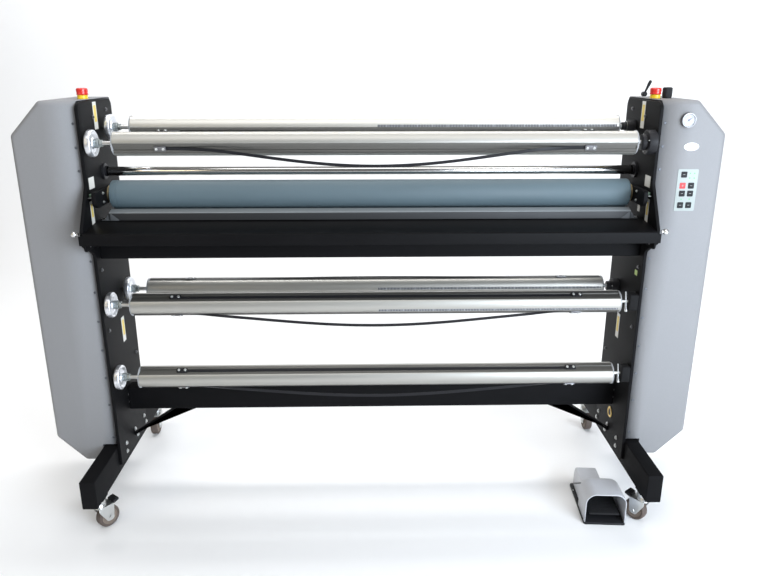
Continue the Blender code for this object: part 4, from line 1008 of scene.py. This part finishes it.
def guide_bar():
    """A folded bar: upright front face, sloping ledge, and a foot, a gusset and a bracket at each end."""
    low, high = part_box("guide_bar")
    bottom, top = low.z, high.z
    front, rear = low.y, high.y
    half = RUBBER_HALF + 0.001
    rise = 0.009
    section = corners([
        (front, bottom), (front + 0.013, bottom), (front + 0.013, top - rise - 0.003),
        (rear - 0.0004, top - 0.0030),
        (rear - 0.0004, top - 0.0010), (front + 0.0002, top - rise - 0.0004),
    ], [0.001, 0.001, 0.001, 0.0008, 0.0008, 0.004], 8)
    bar = slab(section, "X", -half, half, 0.0006)
    piece("guide_bar_body", bar, painted("bar_grey", (0.030, 0.031, 0.033), 0.5), "table",
        ("guide_bar",))
    # painted highlight: a light grey strip along the top edge of the dark bar's ledge stands in for light
    # caught on its rounded edge
    light = painted("bar_light", (0.26, 0.28, 0.29), 0.6)
    edge = corners([(front + 0.0010, top - rise - 0.0012), (rear, top - 0.0014), (rear, top),
        (front + 0.0010, top - rise + 0.0012)],
                   [0.0010, 0.0005, 0.0005, 0.0012], 4)
    piece("guide_bar_ledge_painted_highlight", slab(edge, "X", -half, half, 0.0004, 2), light, "table")
    feet, bolts = [], []
    for _, sign in SIDES:
        feet.append(block(span(sign, half - 0.004, half + 0.024), (front, front + 0.013),
                          (bottom, bottom + 0.002), 0.0005))
        gusset = np.array([(sign * (half + 0.0005), bottom), (sign * (half + 0.0185), bottom),
            (sign * (half + 0.0005), bottom + 0.022)])
        feet.append(slab(corners(gusset, 0.0015, 3), "Y", front + 0.0045, front + 0.007, 0.0005))
        bracket = np.array([(sign * (half - 0.004), bottom), (sign * (half - 0.034), bottom),
            (sign * (half - 0.004), bottom + 0.024)])
        feet.append(slab(corners(bracket, 0.0015, 3), "Y", front - 0.0020, front - 0.0002, 0.0004))
        bolts.append(washer_bolt((sign * (half + 0.017), front + 0.0105, bottom + 0.002), "Z", 1,
            0.0025, 0.0025))
    piece("guide_bar_feet", joined(feet), painted("bar_feet", (0.085, 0.09, 0.095), 0.6), "table")
    piece("guide_bar_bolts", joined(bolts), zinc(), "table")


def table_knob(side, sign):
    low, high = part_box(f"table_knob_{side}")
    radius = (high.z - low.z) / 2
    end = PLATE_IN + 0.0118
    ball = end + 0.022 - radius
    profile = np.vstack([
        [(end, 0), (end, 0.0052), (end + 0.0022, 0.0052), (end + 0.0028, 0.0036)],
        arc((ball, 0), radius, 158, 0, 22),
    ])
    profile[-1, 1] = 0
    at = (0, *middle_of(low, high)[1:])
    piece(f"ball_knob_{side}", turned(profile * (sign, 1), "X", at, 40),
        plated("knob_silver", (0.78, 0.78, 0.77), 0.18),
          f"knob_{side}", (f"table_knob_{side}",))


# --- Castors ---------------------------------------------------------------------------------
TRAIL = 0.025
WHEEL_RADIUS = 0.0375
FRONT_TURN = 38


def castor(where, side, sign):
    low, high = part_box(f"foot_bar_{side}")
    x = (low.x + high.x) / 2
    y = -CASTOR_Y if where == "front" else CASTOR_Y
    turn = math.radians(sign * FRONT_TURN) if where == "front" else math.pi
    home = Matrix.Translation((x, y, 0)) @ Matrix.Rotation(turn, 4, "Z")
    name = f"{where}_{side}"
    top = FOOT_BOTTOM - 0.0043
    crown = 2 * WHEEL_RADIUS + 0.006
    leg_in, leg_out = 0.0165, 0.0195
    head = np.vstack([
        [(crown - 0.0005, 0), (crown - 0.0005, 0.0165), (crown + 0.003, 0.019)],
        arc((crown + 0.0105, 0.0175), 0.0052, 270 - 90, 90, 6) * (1, 1),
        [(crown + 0.0175, 0.0190), (crown + 0.0195, 0.0225), (top - 0.0006, 0.0228), (top, 0.0222), (top, 0)],
    ])
    head[:, 0] = np.maximum.accumulate(head[:, 0])
    swivel = turned(head, "Z", (0, 0, 0), 48)
    back = TRAIL + 0.016
    side_outline = corners([
        (-0.013, crown + 0.003), (-0.012, crown - 0.012), (TRAIL - 0.0115, WHEEL_RADIUS - 0.012),
        (TRAIL + 0.0115, WHEEL_RADIUS - 0.012), (back, crown - 0.010), (back, crown + 0.003),
    ], [0.004, 0.012, 0.010, 0.010, 0.010, 0.004])
    legs = slab(side_outline, "X", leg_in, leg_out, 0.0006) + slab(side_outline, "X", -leg_out, -leg_in,
        0.0006)
    bridge = block((-leg_out + 0.0002, leg_out - 0.0002), (-0.013, back), (crown, crown + 0.003),
        0.0008, 0.003)
    axle = [(-leg_out - 0.003, 0), (-leg_out - 0.003, 0.0065), (-leg_out, 0.0072), (-leg_out + 0.001, 0.005),
            (leg_out - 0.001, 0.005), (leg_out, 0.0072), (leg_out + 0.003, 0.0065), (leg_out + 0.003, 0)]
    bolt = turned(axle, "X", (0, TRAIL, WHEEL_RADIUS), 6)
    fork = (swivel + legs + bridge + bolt).placed(home)
    piece(f"fork_{name}", fork, zinc(), f"fork_{name}", (f"castor_fork_{name}",))
    half = 0.014
    radius = WHEEL_RADIUS
    tyre = np.vstack([
        [(-half + 0.002, 0.0270), (-half + 0.001, 0.029), (-half, 0.0315)],
        arc((-half + 0.006, radius - 0.006), 0.006, 180, 95, 6), [(0, radius)],
        arc((half - 0.006, radius - 0.006), 0.006, 85, 0, 6),
        [(half, 0.0315), (half - 0.001, 0.029), (half - 0.002, 0.0270)],
    ])
    hub = [(-half, 0.0055), (-half, 0.0115), (-half + 0.001, 0.0125), (-half + 0.0035, 0.0135),
        (-half + 0.0035, 0.0245),
           (-half + 0.001, 0.0262), (-half + 0.001, 0.0275), (half - 0.001, 0.0275), (half - 0.001, 0.0262),
           (half - 0.0035, 0.0245), (half - 0.0035, 0.0135), (half - 0.001, 0.0125), (half, 0.0115),
           (half, 0.0055)]
    at = (0, TRAIL, WHEEL_RADIUS)
    piece(f"tyre_{name}", turned(tyre, "X", at, 64).placed(home),
        tread("castor_rubber", (0.085, 0.060, 0.048)),
          f"castor_{name}", (f"castor_wheel_{name}",))
    piece(f"hub_{name}", turned(hub, "X", at, 48).placed(home),
        moulded("hub_grey", (0.19, 0.15, 0.12), 0.5, 700, 0.0),
          f"castor_{name}")
    if where == "front":
        pivot_y, pivot_z = back + 0.0005, crown + 0.003
        outline = corners([(0, -0.005), (0.0208, 0.002), (0.021, 0.010), (0.010, 0.0085), (0, 0.006)],
            [0.002, 0.002, 0.003, 0.006, 0.002])
        plate = slab(outline + (pivot_y, pivot_z), "X", -leg_out + 0.002, leg_out - 0.002, 0.0014)
        ribs = joined(
            block((-0.015, 0.015), (pivot_y + dy, pivot_y + dy + 0.0016),
                (pivot_z + 0.0085, pivot_z + 0.0105), 0.0004)
            for dy in (0.0105, 0.014, 0.0175)
        )
        piece(f"brake_tread_{side}", (plate + ribs).placed(home), black_plastic(), f"brake_{side}",
              (f"castor_pedal_{side}",))


# --- Controls --------------------------------------------------------------------------------
GAUGE_AT = (0.971, HOUSING_FRONT - 0.0003, 1.323)


def stop_button(side, sign):
    low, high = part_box(f"stop_base_{side}")
    x, y, _ = middle_of(low, high)
    bottom, top = low.z, high.z
    tall = top - bottom
    collar = [(0, 0), (0, 0.0156), (0.0005, 0.0160), (tall - 0.0010, 0.0160), (tall, 0.0150), (tall, 0)]
    piece(f"stop_collar_{side}", turned(collar, "Z", (x, y, bottom), 48),
          moulded("stop_yellow", (0.83, 0.56, 0.02), 0.36, 700, 0.1), "frame",
          (f"stop_base_{side}",))
    low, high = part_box(f"stop_head_{side}")
    tall = high.z - low.z
    radius = (high.x - low.x) / 2
    hollow, skirt = 0.0166, 0.0036
    head = np.vstack([
        [(0.0006, 0), (0.0006, hollow), (-skirt, hollow), (-skirt, hollow + 0.0008),
            (-skirt + 0.0008, hollow + 0.0016),
         (tall * 0.10, radius * 0.95), (tall * 0.35, radius)],
        arc((tall * 0.70, radius - tall * 0.28), tall * 0.28, 90, 10, 8),
        [(tall, radius * 0.60), (tall, 0)],
    ])
    lobes = lambda angle: 1 - 0.010 * (1 - np.cos(angle * 16)) / 2
    piece(f"stop_mushroom_{side}", turned(head, "Z", (x, y, low.z), 96, lobes),
          moulded("stop_red", (0.62, 0.022, 0.015), 0.28, 500, 0.35), f"stop_{side}",
          (f"stop_head_{side}",))


def regulator():
    low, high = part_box("regulator_knob")
    x, y, _ = middle_of(low, high)
    tall, radius = high.z - low.z, (high.x - low.x) / 2
    profile = [
        (0, 0), (0, radius * 0.90), (0.0042, radius * 0.90), (0.0050, radius * 0.99),
        (tall * 0.90, radius * 0.99),
        (tall * 0.95, radius * 0.94), (tall * 0.955, radius * 0.80), (tall, radius * 0.72), (tall, 0),
    ]
    knurl = lambda angle: 1 - 0.045 * np.abs(np.sin(12 * angle)) ** 1.5
    piece("pressure_knob", turned(profile, "Z", (x, y, low.z), 144, knurl), black_plastic(),
        "regulator",
          ("regulator_knob",))


def valve():
    pivot = Vector((0.918, 0.0675, HOUSING_TOP + 0.009))
    body = block((0.908, 0.928), (0.0555, 0.0795), (HOUSING_TOP + 0.0001, HOUSING_TOP + 0.0006), 0.0002,
        0.003)
    lean = Matrix.Translation(pivot) @ Matrix.Rotation(math.radians(23), 4, "Y")
    hub = turned([(-0.009, 0), (-0.009, 0.0072), (-0.0082, 0.008), (0.0082, 0.008), (0.009, 0.0072),
        (0.009, 0)],
                 "Y", tuple(pivot), 40)
    grip = np.vstack([
        [(0.004, 0), (0.004, 0.0034), (0.016, 0.0036), (0.024, 0.0042), (0.034, 0.0052)],
        arc((0.0428, 0), 0.0052, 90, 0, 8),
    ])
    grip[-1, 1] = 0
    stem = turned(grip, "Z", (0, 0, 0), 32).placed(lean)
    piece("valve_handle", hub + stem, black_plastic(), "valve", ("valve_lever",))
    piece("valve_plate", body, zinc(), "frame")


def gauge():
    low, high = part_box("gauge_case")
    radius, deep = (high.x - low.x) / 2, high.y - low.y
    case = [
        (0, 0), (0, radius - 0.0006), (-0.0006, radius), (-0.004, radius), (-0.0052, radius - 0.0008),
        (-deep + 0.0022, radius - 0.0008), (-deep + 0.0006, radius - 0.0010), (-deep, radius - 0.0020),
        (-deep, radius - 0.0032),
        (-deep + 0.0012, radius - 0.0042), (-deep + 0.0036, radius - 0.0046), (-deep + 0.0036, 0),
    ]
    piece("gauge_shell", turned(case, "Y", GAUGE_AT, 72), plated("gauge_rim", (0.34, 0.34, 0.35), 0.22),
        "frame", ("gauge_case",))
    dial = [(-deep + 0.0037, 0), (-deep + 0.0037, radius - 0.0047), (-deep + 0.0034, radius - 0.0047),
        (-deep + 0.0034, 0)]
    piece("gauge_dial", turned(dial, "Y", GAUGE_AT, 64), dial_face(), "frame")
    window = [(-deep + 0.0016, 0), (-deep + 0.0016, radius - 0.0041), (-deep + 0.0011, radius - 0.0041),
        (-deep + 0.0011, 0)]
    piece("gauge_window", turned(window, "Y", GAUGE_AT, 64), clear_glass(), "frame")
    low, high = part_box("gauge_needle")
    pointer = corners([(-0.0014, -0.0050), (0.0014, -0.0050), (0.0007, 0.0140), (-0.0007, 0.0140)], 0.0002, 2)
    turn = math.radians(-50)
    spin = np.array([[math.cos(turn), -math.sin(turn)], [math.sin(turn), math.cos(turn)]])
    outline = pointer @ spin.T + (GAUGE_AT[0], GAUGE_AT[2])
    y = GAUGE_AT[1] - deep + 0.0028
    cap = turned([(y - 0.0007, 0), (y - 0.0007, 0.0016), (y + 0.0004, 0.0022), (y + 0.0004, 0)], "Y",
                 (GAUGE_AT[0], 0, GAUGE_AT[2]), 24)
    needle = slab(outline, "Y", y - 0.0003, y + 0.0002, 0.0001, 1)
    piece("gauge_pointer", needle + cap, moulded("needle_blue", (0.015, 0.03, 0.12), 0.4, 900, 0.0), "needle",
          ("gauge_needle",))


KEYS = (
    # (x, z, colour) of each key
    (0.981, 1.156, "black"), (0.980, 1.121, "red"), (1.007, 1.121, "black"), (0.981, 1.096, "black"),
    (1.007, 1.096, "black"), (0.980, 1.059, "black"), (1.006, 1.059, "black"),
)


def keypad():
    low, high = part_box("keypad")
    film = block((low.x, high.x), (low.y + 0.0005, high.y), (low.z, high.z), 0.0003, 0.004, "Y")
    piece("keypad_film", film, printed("film_pale", (0.33, 0.37, 0.36), 0.5), "frame",
        ("keypad",))
    finishes = {
        "black": moulded("key_black", (0.012, 0.012, 0.014), 0.5, 700, 0.0),
        "red": moulded("key_red", (0.46, 0.025, 0.03), 0.45, 700, 0.0),
    }
    front = low.y + 0.0005
    for colour, finish in finishes.items():
        keys = [
            block((x - 0.0095, x + 0.0095), (front - 0.0007, front + 0.0001), (z - 0.0095, z + 0.0095),
                0.0003, 0.0028, "Y")
            for x, z, kind in KEYS if kind == colour
        ]
        piece(f"keys_{colour}", joined(keys), finish, "frame")
    marks = [
        block((x - wide / 2, x + wide / 2), (front - 0.0011, front - 0.0006),
            (z - tall / 2, z + tall / 2), 0.0001, 0.0003, "Y", 1)
        for x, z, kind in KEYS for wide, tall in ((0.0070, 0.0012),
            (0.0012, 0.0070))[: 2 if kind == "red" else 1]
    ]
    piece("key_marks", joined(marks), printed("mark_white", (0.30, 0.31, 0.30), 0.5), "frame")
    lamps = [
        turned([(front - 0.0006, 0), (front - 0.0006, 0.0016), (front - 0.0002, 0.0020),
            (front, 0.0020), (front, 0)], "Y", (x, 0, z), 20)
        for x, z in ((1.000, 1.160), (1.014, 1.160), (1.000, 1.145), (1.014, 1.145), (0.981, 1.078),
            (1.007, 1.078))
    ]
    piece("keypad_lamps", joined(lamps), printed("lamp_green", (0.08, 0.42, 0.16), 0.3), "frame")
    oval = arc((0, 0), 1, 0, 360, 48)[:-1] * (0.0235, 0.0125) + (0.993, 1.242)
    y = HOUSING_FRONT - 0.0003
    badge = slab(oval, "Y", y - 0.0008, y, 0.0003)
    piece("blank_badge", badge, printed("badge_white", (0.80, 0.84, 0.88), 0.32), "frame")


def sensors(side, sign):
    """An optical sensor on a small bracket behind the table, one at each end."""
    bracket = block(span(sign, PLATE_IN - 0.0005, 0.868), (-0.196, -0.166), (1.0905, 1.0925), 0.0005)
    eye = block(span(sign, PLATE_IN - 0.0005, 0.866), (-0.186, -0.170), (1.0928, 1.102), 0.0012, 0.002)
    piece(f"sensor_bracket_{side}", bracket, zinc(), "frame")
    piece(f"sensor_{side}", eye, moulded("sensor_green", (0.10, 0.16, 0.11), 0.4, 700, 0.0), "frame")


def drive():
    low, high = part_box("gear_motor")
    x, y, z = zip(low, high)
    box_low = 0.941
    gearbox = block((x[0], x[0] + 0.066), (low.y, high.y), (box_low, high.z), 0.002, 0.006)
    centre = (x[0] + 0.043, (low.y + high.y) / 2, 0)
    bottom = low.z
    can = [(bottom, 0), (bottom, 0.036), (bottom + 0.003, 0.0395), (box_low + 0.001, 0.0395),
        (box_low + 0.001, 0)]
    ribs = lambda angle: 1 - 0.03 * np.abs(np.sin(12 * angle))
    piece("drive_motor", gearbox + turned(can, "Z", centre, 96, ribs),
        moulded("machine_grey", (0.25, 0.26, 0.28), 0.5, 500, 0.0),
          "frame", ("gear_motor",))


def grommet():
    """A brass-rimmed cable entry low on the right plate."""
    rim = np.array([(0, 0.013), (0, 0.020), (-0.0015, 0.0205), (-0.003, 0.019), (-0.003, 0.014),
        (-0.0015, 0.0125)])
    at = (PLATE_IN, -0.0415, 0.261)
    piece("cable_entry_rim", turned(rim, "X", at, 40), plated("brass", (0.70, 0.50, 0.18), 0.28),
        "frame")
    plug = np.array([(0, 0), (0, 0.0135), (-0.0008, 0.0135), (-0.0014, 0.010), (-0.0014, 0)])
    piece("cable_entry_plug", turned(plug, "X", at, 32), black_plastic(), "frame")


# --- Foot pedal ------------------------------------------------------------------------------
PEDAL_HOME = Matrix.Translation((0.780, -0.3555, 0)) @ Matrix.Rotation(math.radians(-4.0), 4, "Z")
HOOD_HALF = 0.0675
HOOD_TOP = 0.115
HOOD_LENGTH = 0.125
HOOD_ARCH = 0.036
PEDAL_LENGTH = 0.237


def arch(half, top, radius, low, steps=10):
    """An open arch in (x, z): up one wall, over with two arcs, down the other."""
    left = arc((-half + radius, top - radius), radius, 180, 90, steps)
    right = arc((half - radius, top - radius), radius, 90, 0, steps)
    return np.vstack([[(-half, low)], [(-half, (low + top - radius) / 2)], left, [(0, top)], right,
                      [(half, (low + top - radius) / 2)], [(half, low)]])


def pedal():
    """The hood is an arch carried back along the base; its roof slopes down and closes on the tail."""
    silver = moulded("pedal_silver", (0.50, 0.51, 0.54), 0.4, 450, 0.0)
    low = 0.0086
    shrink = lambda along: np.clip((along - 0.100) / 0.025, 0, 1) ** 1.6
    stations = np.concatenate([[0.002, 0.004, 0.010, 0.03, 0.06, 0.09, 0.10],
        np.linspace(0.104, HOOD_LENGTH, 9)])
    rings = []
    for along in stations:
        lower = 0.016 * shrink(along)
        rings.append(arch(HOOD_HALF - 0.010 * shrink(along), HOOD_TOP - lower, HOOD_ARCH, low))
    rings = np.stack(rings)
    grid = to_axis(rings[..., 0], rings[..., 1], stations[:, None], "Y")
    last = grid[-1]
    closing = np.array([(-0.020, HOOD_LENGTH, 0.05)])
    back = np.stack([last * (1 - share) + closing * share for share in np.linspace(0, 1, 5)[1:]])
    hood = skin(np.concatenate([grid, back]), ring=False)
    piece("pedal_hood_shell", Shape(hood.points, hood.faces).placed(PEDAL_HOME), silver, "frame",
          ("pedal_hood",), wall=0.0025, sharp=50)
    tail_low, tail_high = -0.060, 0.014
    outline = corners([(HOOD_LENGTH - 0.012, low), (PEDAL_LENGTH - 0.006, low), (PEDAL_LENGTH - 0.006, 0.062),
                       (PEDAL_LENGTH - 0.020, 0.089), (HOOD_LENGTH - 0.012, 0.0895)],
                       [0.002, 0.003, 0.012, 0.014, 0.002])
    tail = slab(outline, "X", tail_low, tail_high, 0.006, 5)
    piece("pedal_tail", tail.placed(PEDAL_HOME), silver, "frame")
    base = block((-0.070, 0.070), (0, PEDAL_LENGTH), (0, 0.008), 0.0012, 0.008)
    piece("pedal_sole", base.placed(PEDAL_HOME), black_plastic(), "frame", ("pedal_base",))
    screws = joined(
        screw_head((sign * 0.0665, y, 0.0078), "Z", 1, 0.0028, 0.0016) for sign in (-1, 1)
        for y in (0.014, 0.19)
    )
    piece("pedal_screws", screws.placed(PEDAL_HOME), zinc(), "frame")
    pivot_y, pivot_z = HOOD_LENGTH - 0.016, 0.042
    rise = math.tan(math.radians(5)) * 0.096
    plate = corners([(0.006, -0.004), (0.006, 0.003), (-0.096, 0.003 - rise), (-0.096, -0.004 - rise)],
        0.002, 3)
    shape = slab(plate + (pivot_y, pivot_z), "X", -0.050, 0.050, 0.001)
    slope = Matrix.Translation((0, pivot_y, pivot_z)) @ Matrix.Rotation(math.radians(5), 4, "X")
    ribs = joined(
        block((-0.046, 0.046), (-0.092 + 0.0072 * step, -0.0885 + 0.0072 * step), (0.0026, 0.0040), 0.0005)
        for step in range(12)
    )
    piece("pedal_plate", (shape + ribs.placed(slope)).placed(PEDAL_HOME),
        moulded("treadle_black", (0.009, 0.009, 0.010), 0.6, 600, 0.0),
          "treadle", ("pedal_treadle",))


# --- Settings, operators and panel -----------------------------------------------------------
class LaminatorColours(bpy.types.PropertyGroup):
    """Colours a user would change."""

    cover: FloatVectorProperty(
        name="Covers", description="Silver powder coat of the two housings", subtype="COLOR", size=3,
        default=(0.245, 0.247, 0.255), min=0, max=1,
    )
    frame: FloatVectorProperty(
        name="Frame", description="Black powder coat of plates, beams and table", subtype="COLOR", size=3,
        default=(0.004, 0.004, 0.0045), min=0, max=1,
    )
    rubber: FloatVectorProperty(
        name="Roller rubber", description="Rubber of the nip rollers", subtype="COLOR", size=3,
        default=(0.088, 0.128, 0.148), min=0, max=1,
    )
    aluminium: FloatVectorProperty(
        name="Shafts", description="Anodised film shafts", subtype="COLOR", size=3,
        default=(0.43, 0.42, 0.39), min=0, max=1,
    )


class LaminatorStage(bpy.types.PropertyGroup):
    """Camera and light settings."""

    lens: FloatProperty(name="Lens", description="Focal length", default=33.13, min=10, max=200,
        unit="CAMERA")
    eye: FloatVectorProperty(
        name="Eye point", description="Where the camera stands", subtype="TRANSLATION", unit="LENGTH", size=3,
        default=(-0.0085, -2.3765, 1.4876),
    )
    tilt: FloatVectorProperty(
        name="Camera turn", description="The camera's rotation", subtype="EULER", unit="ROTATION", size=3,
        default=(math.radians(72.4), 0.0, math.radians(-1.21)),
    )
    key_power: FloatProperty(name="Key light", description="Power of the large front light",
        default=90.0, min=0, unit="POWER")
    back_power: FloatProperty(name="Backdrop light", description="Power of the light on the backdrop",
        default=190.0, min=0, unit="POWER")
    side_power: FloatProperty(name="Side light", description="Power of the cool light on the right",
        default=260.0, min=0, unit="POWER")
    sky: FloatProperty(name="Surround", description="Brightness of the white surround", default=0.20,
        min=0, max=5)


def operator(idname, label, words, build):
    """An operator class that runs one builder."""

    def run(self, context):
        build()
        return {"FINISHED"}

    members = {"__doc__": words, "bl_idname": f"laminator.{idname}", "bl_label": label, "execute": run,
               "bl_options": {"REGISTER", "UNDO"}}
    return type(f"LAMINATOR_OT_{idname}", (bpy.types.Operator,), members)


def each_side(*builders):
    """A builder for an operator, from builders that make one side."""

    def build():
        for side, sign in SIDES:
            for builder in builders:
                builder(side, sign)

    return build


def each_shaft(*builders):
    """A builder for an operator, from builders that take a shaft's name, y, z and first flat."""

    def build():
        for name, places in SHAFTS.items():
            for builder in builders:
                builder(name, *places)

    return build


def whole_table():
    table()
    guide_bar()
    for side, sign in SIDES:
        table_knob(side, sign)


def all_castors():
    for side, sign in SIDES:
        for where in ("front", "rear"):
            castor(where, side, sign)


def all_controls():
    regulator()
    valve()
    gauge()
    keypad()
    for side, sign in SIDES:
        stop_button(side, sign)
        sensors(side, sign)


def area_light(name, at, target, size, power, colour=(1, 1, 1)):
    light = bpy.data.lights.new(name, "AREA")
    light.shape = "RECTANGLE"
    light.size, light.size_y = size
    light.energy = power
    light.color = colour
    obj = bpy.data.objects.new(name, light)
    obj.location = at
    obj.rotation_euler = (Vector(target) - Vector(at)).to_track_quat("-Z", "Y").to_euler()
    bpy.context.scene.collection.objects.link(obj)
    return obj


def stage():
    """A pale floor that curves up behind, soft lights and the camera."""
    scene = bpy.context.scene
    settings = scene.laminator_stage
    world = bpy.data.worlds.new("White surround")
    world.use_nodes = True
    world.node_tree.nodes["Background"].inputs[0].default_value = (1.0, 1.0, 1.0, 1.0)
    world.node_tree.nodes["Background"].inputs[1].default_value = settings.sky
    scene.world = world
    angle = np.linspace(0, math.pi / 2, 17)
    sweep = np.concatenate([[(-9.0, 0.0), (2.0, 0.0)],
        np.stack([2.5 + 1.5 * np.sin(angle), 1.5 - 1.5 * np.cos(angle)], 1), [(4.0, 7.0)]])
    x = np.array([-10.0, 10.0])
    floor = skin(to_axis(sweep[None, :, 0], sweep[None, :, 1], x[:, None], "X"), ring=False)
    mesh = bpy.data.meshes.new("backdrop")
    mesh.from_pydata(floor.points.tolist(), [], floor.faces)
    mesh.shade_smooth()
    finish = Finish("pale_floor", (0.88, 0.88, 0.88), 0.75)
    mesh.materials.append(finish.material)
    backdrop = bpy.data.objects.new("backdrop", mesh)
    scene.collection.objects.link(backdrop)
    key = area_light("Key light", (0.2, -2.2, 4.4), (0.0, 0.2, 0.4), (5.0, 2.6), settings.key_power)
    cool = area_light("Cool side", (2.6, -3.4, 1.5), (0.9, 0, 0.8), (2.6, 2.6), settings.side_power,
        (0.80, 0.89, 1.0))
    warm = area_light("Warm side", (-2.8, -2.6, 2.2), (-0.7, 0, 1.0), (1.4, 1.4),
        settings.side_power * 0.06, (1.0, 0.86, 0.62))
    back = area_light("Backdrop light", (0.0, 1.0, 4.6), (0, 3.2, 0.3), (6.0, 1.2), settings.back_power)
    camera = bpy.data.cameras.new("Camera")
    camera.lens = settings.lens
    camera.sensor_width = 36.0
    camera.clip_end = 60.0
    eye = bpy.data.objects.new("Camera", camera)
    eye.location = settings.eye
    eye.rotation_euler = Euler(settings.tilt)
    scene.collection.objects.link(eye)
    scene.camera = eye
    scene.view_settings.view_transform = "Standard"


OPERATORS = [
    operator("covers", "Covers", "Add the silver covers and their screws", each_side(cover)),
    operator("plates", "Side plates", "Add the side plates, bolts and labels", each_side(side_plate, labels)),
    operator("bars", "Beams", "Add the beams and braces", frame_bars),
    operator("feet", "Feet", "Add the foot bars", each_side(foot)),
    operator("rollers", "Rollers", "Add the nip rollers and the idler", rollers),
    operator("arms", "Lift arms", "Add the arms that lift the upper roller", each_side(roller_arms)),
    operator("shafts", "Film shafts", "Add the five film shafts and their grip strips",
        each_shaft(film_shaft, grip_strips)),
    operator("wheels", "Hand wheels", "Add the tension wheels", each_shaft(tension_wheel)),
    operator("holders", "Holders", "Add the shaft holders on the right", each_shaft(holder)),
    operator("table", "Table", "Add the table, the guide bar and the knobs", whole_table),
    operator("castors", "Castors", "Add the four castors", all_castors),
    operator("controls", "Controls", "Add the stops, gauge, knobs and keypad", all_controls),
    operator("drive", "Drive", "Add the gear motor", drive),
    operator("grommet", "Cable entry", "Add the cable entry", grommet),
    operator("pedal", "Foot pedal", "Add the foot pedal", pedal),
    operator("stage", "Stage", "Add the floor, lights and camera", stage),
]


class LAMINATOR_PT_panel(bpy.types.Panel):
    """Lists the settings and the pieces."""

    bl_label = "Cold roll laminator"
    bl_space_type = "VIEW_3D"
    bl_region_type = "UI"
    bl_category = "Laminator"

    def draw(self, context):
        for name in ("cover", "frame", "rubber", "aluminium"):
            self.layout.prop(context.scene.laminator_colours, name)
        for name in ("lens", "eye", "tilt", "key_power", "side_power", "back_power", "sky"):
            self.layout.prop(context.scene.laminator_stage, name)
        for kind in OPERATORS:
            self.layout.operator(kind.bl_idname)


CLASSES = [LaminatorColours, LaminatorStage, *OPERATORS, LAMINATOR_PT_panel]


def register():
    for kind in CLASSES:
        bpy.utils.register_class(kind)
    bpy.types.Scene.laminator_colours = bpy.props.PointerProperty(type=LaminatorColours)
    bpy.types.Scene.laminator_stage = bpy.props.PointerProperty(type=LaminatorStage)


def unregister():
    del bpy.types.Scene.laminator_stage
    del bpy.types.Scene.laminator_colours
    for kind in reversed(CLASSES):
        bpy.utils.unregister_class(kind)


def main():
    register()
    for kind in OPERATORS:
        section, word = kind.bl_idname.split(".")
        getattr(getattr(bpy.ops, section), word)()


if __name__ == "__main__":
    main()
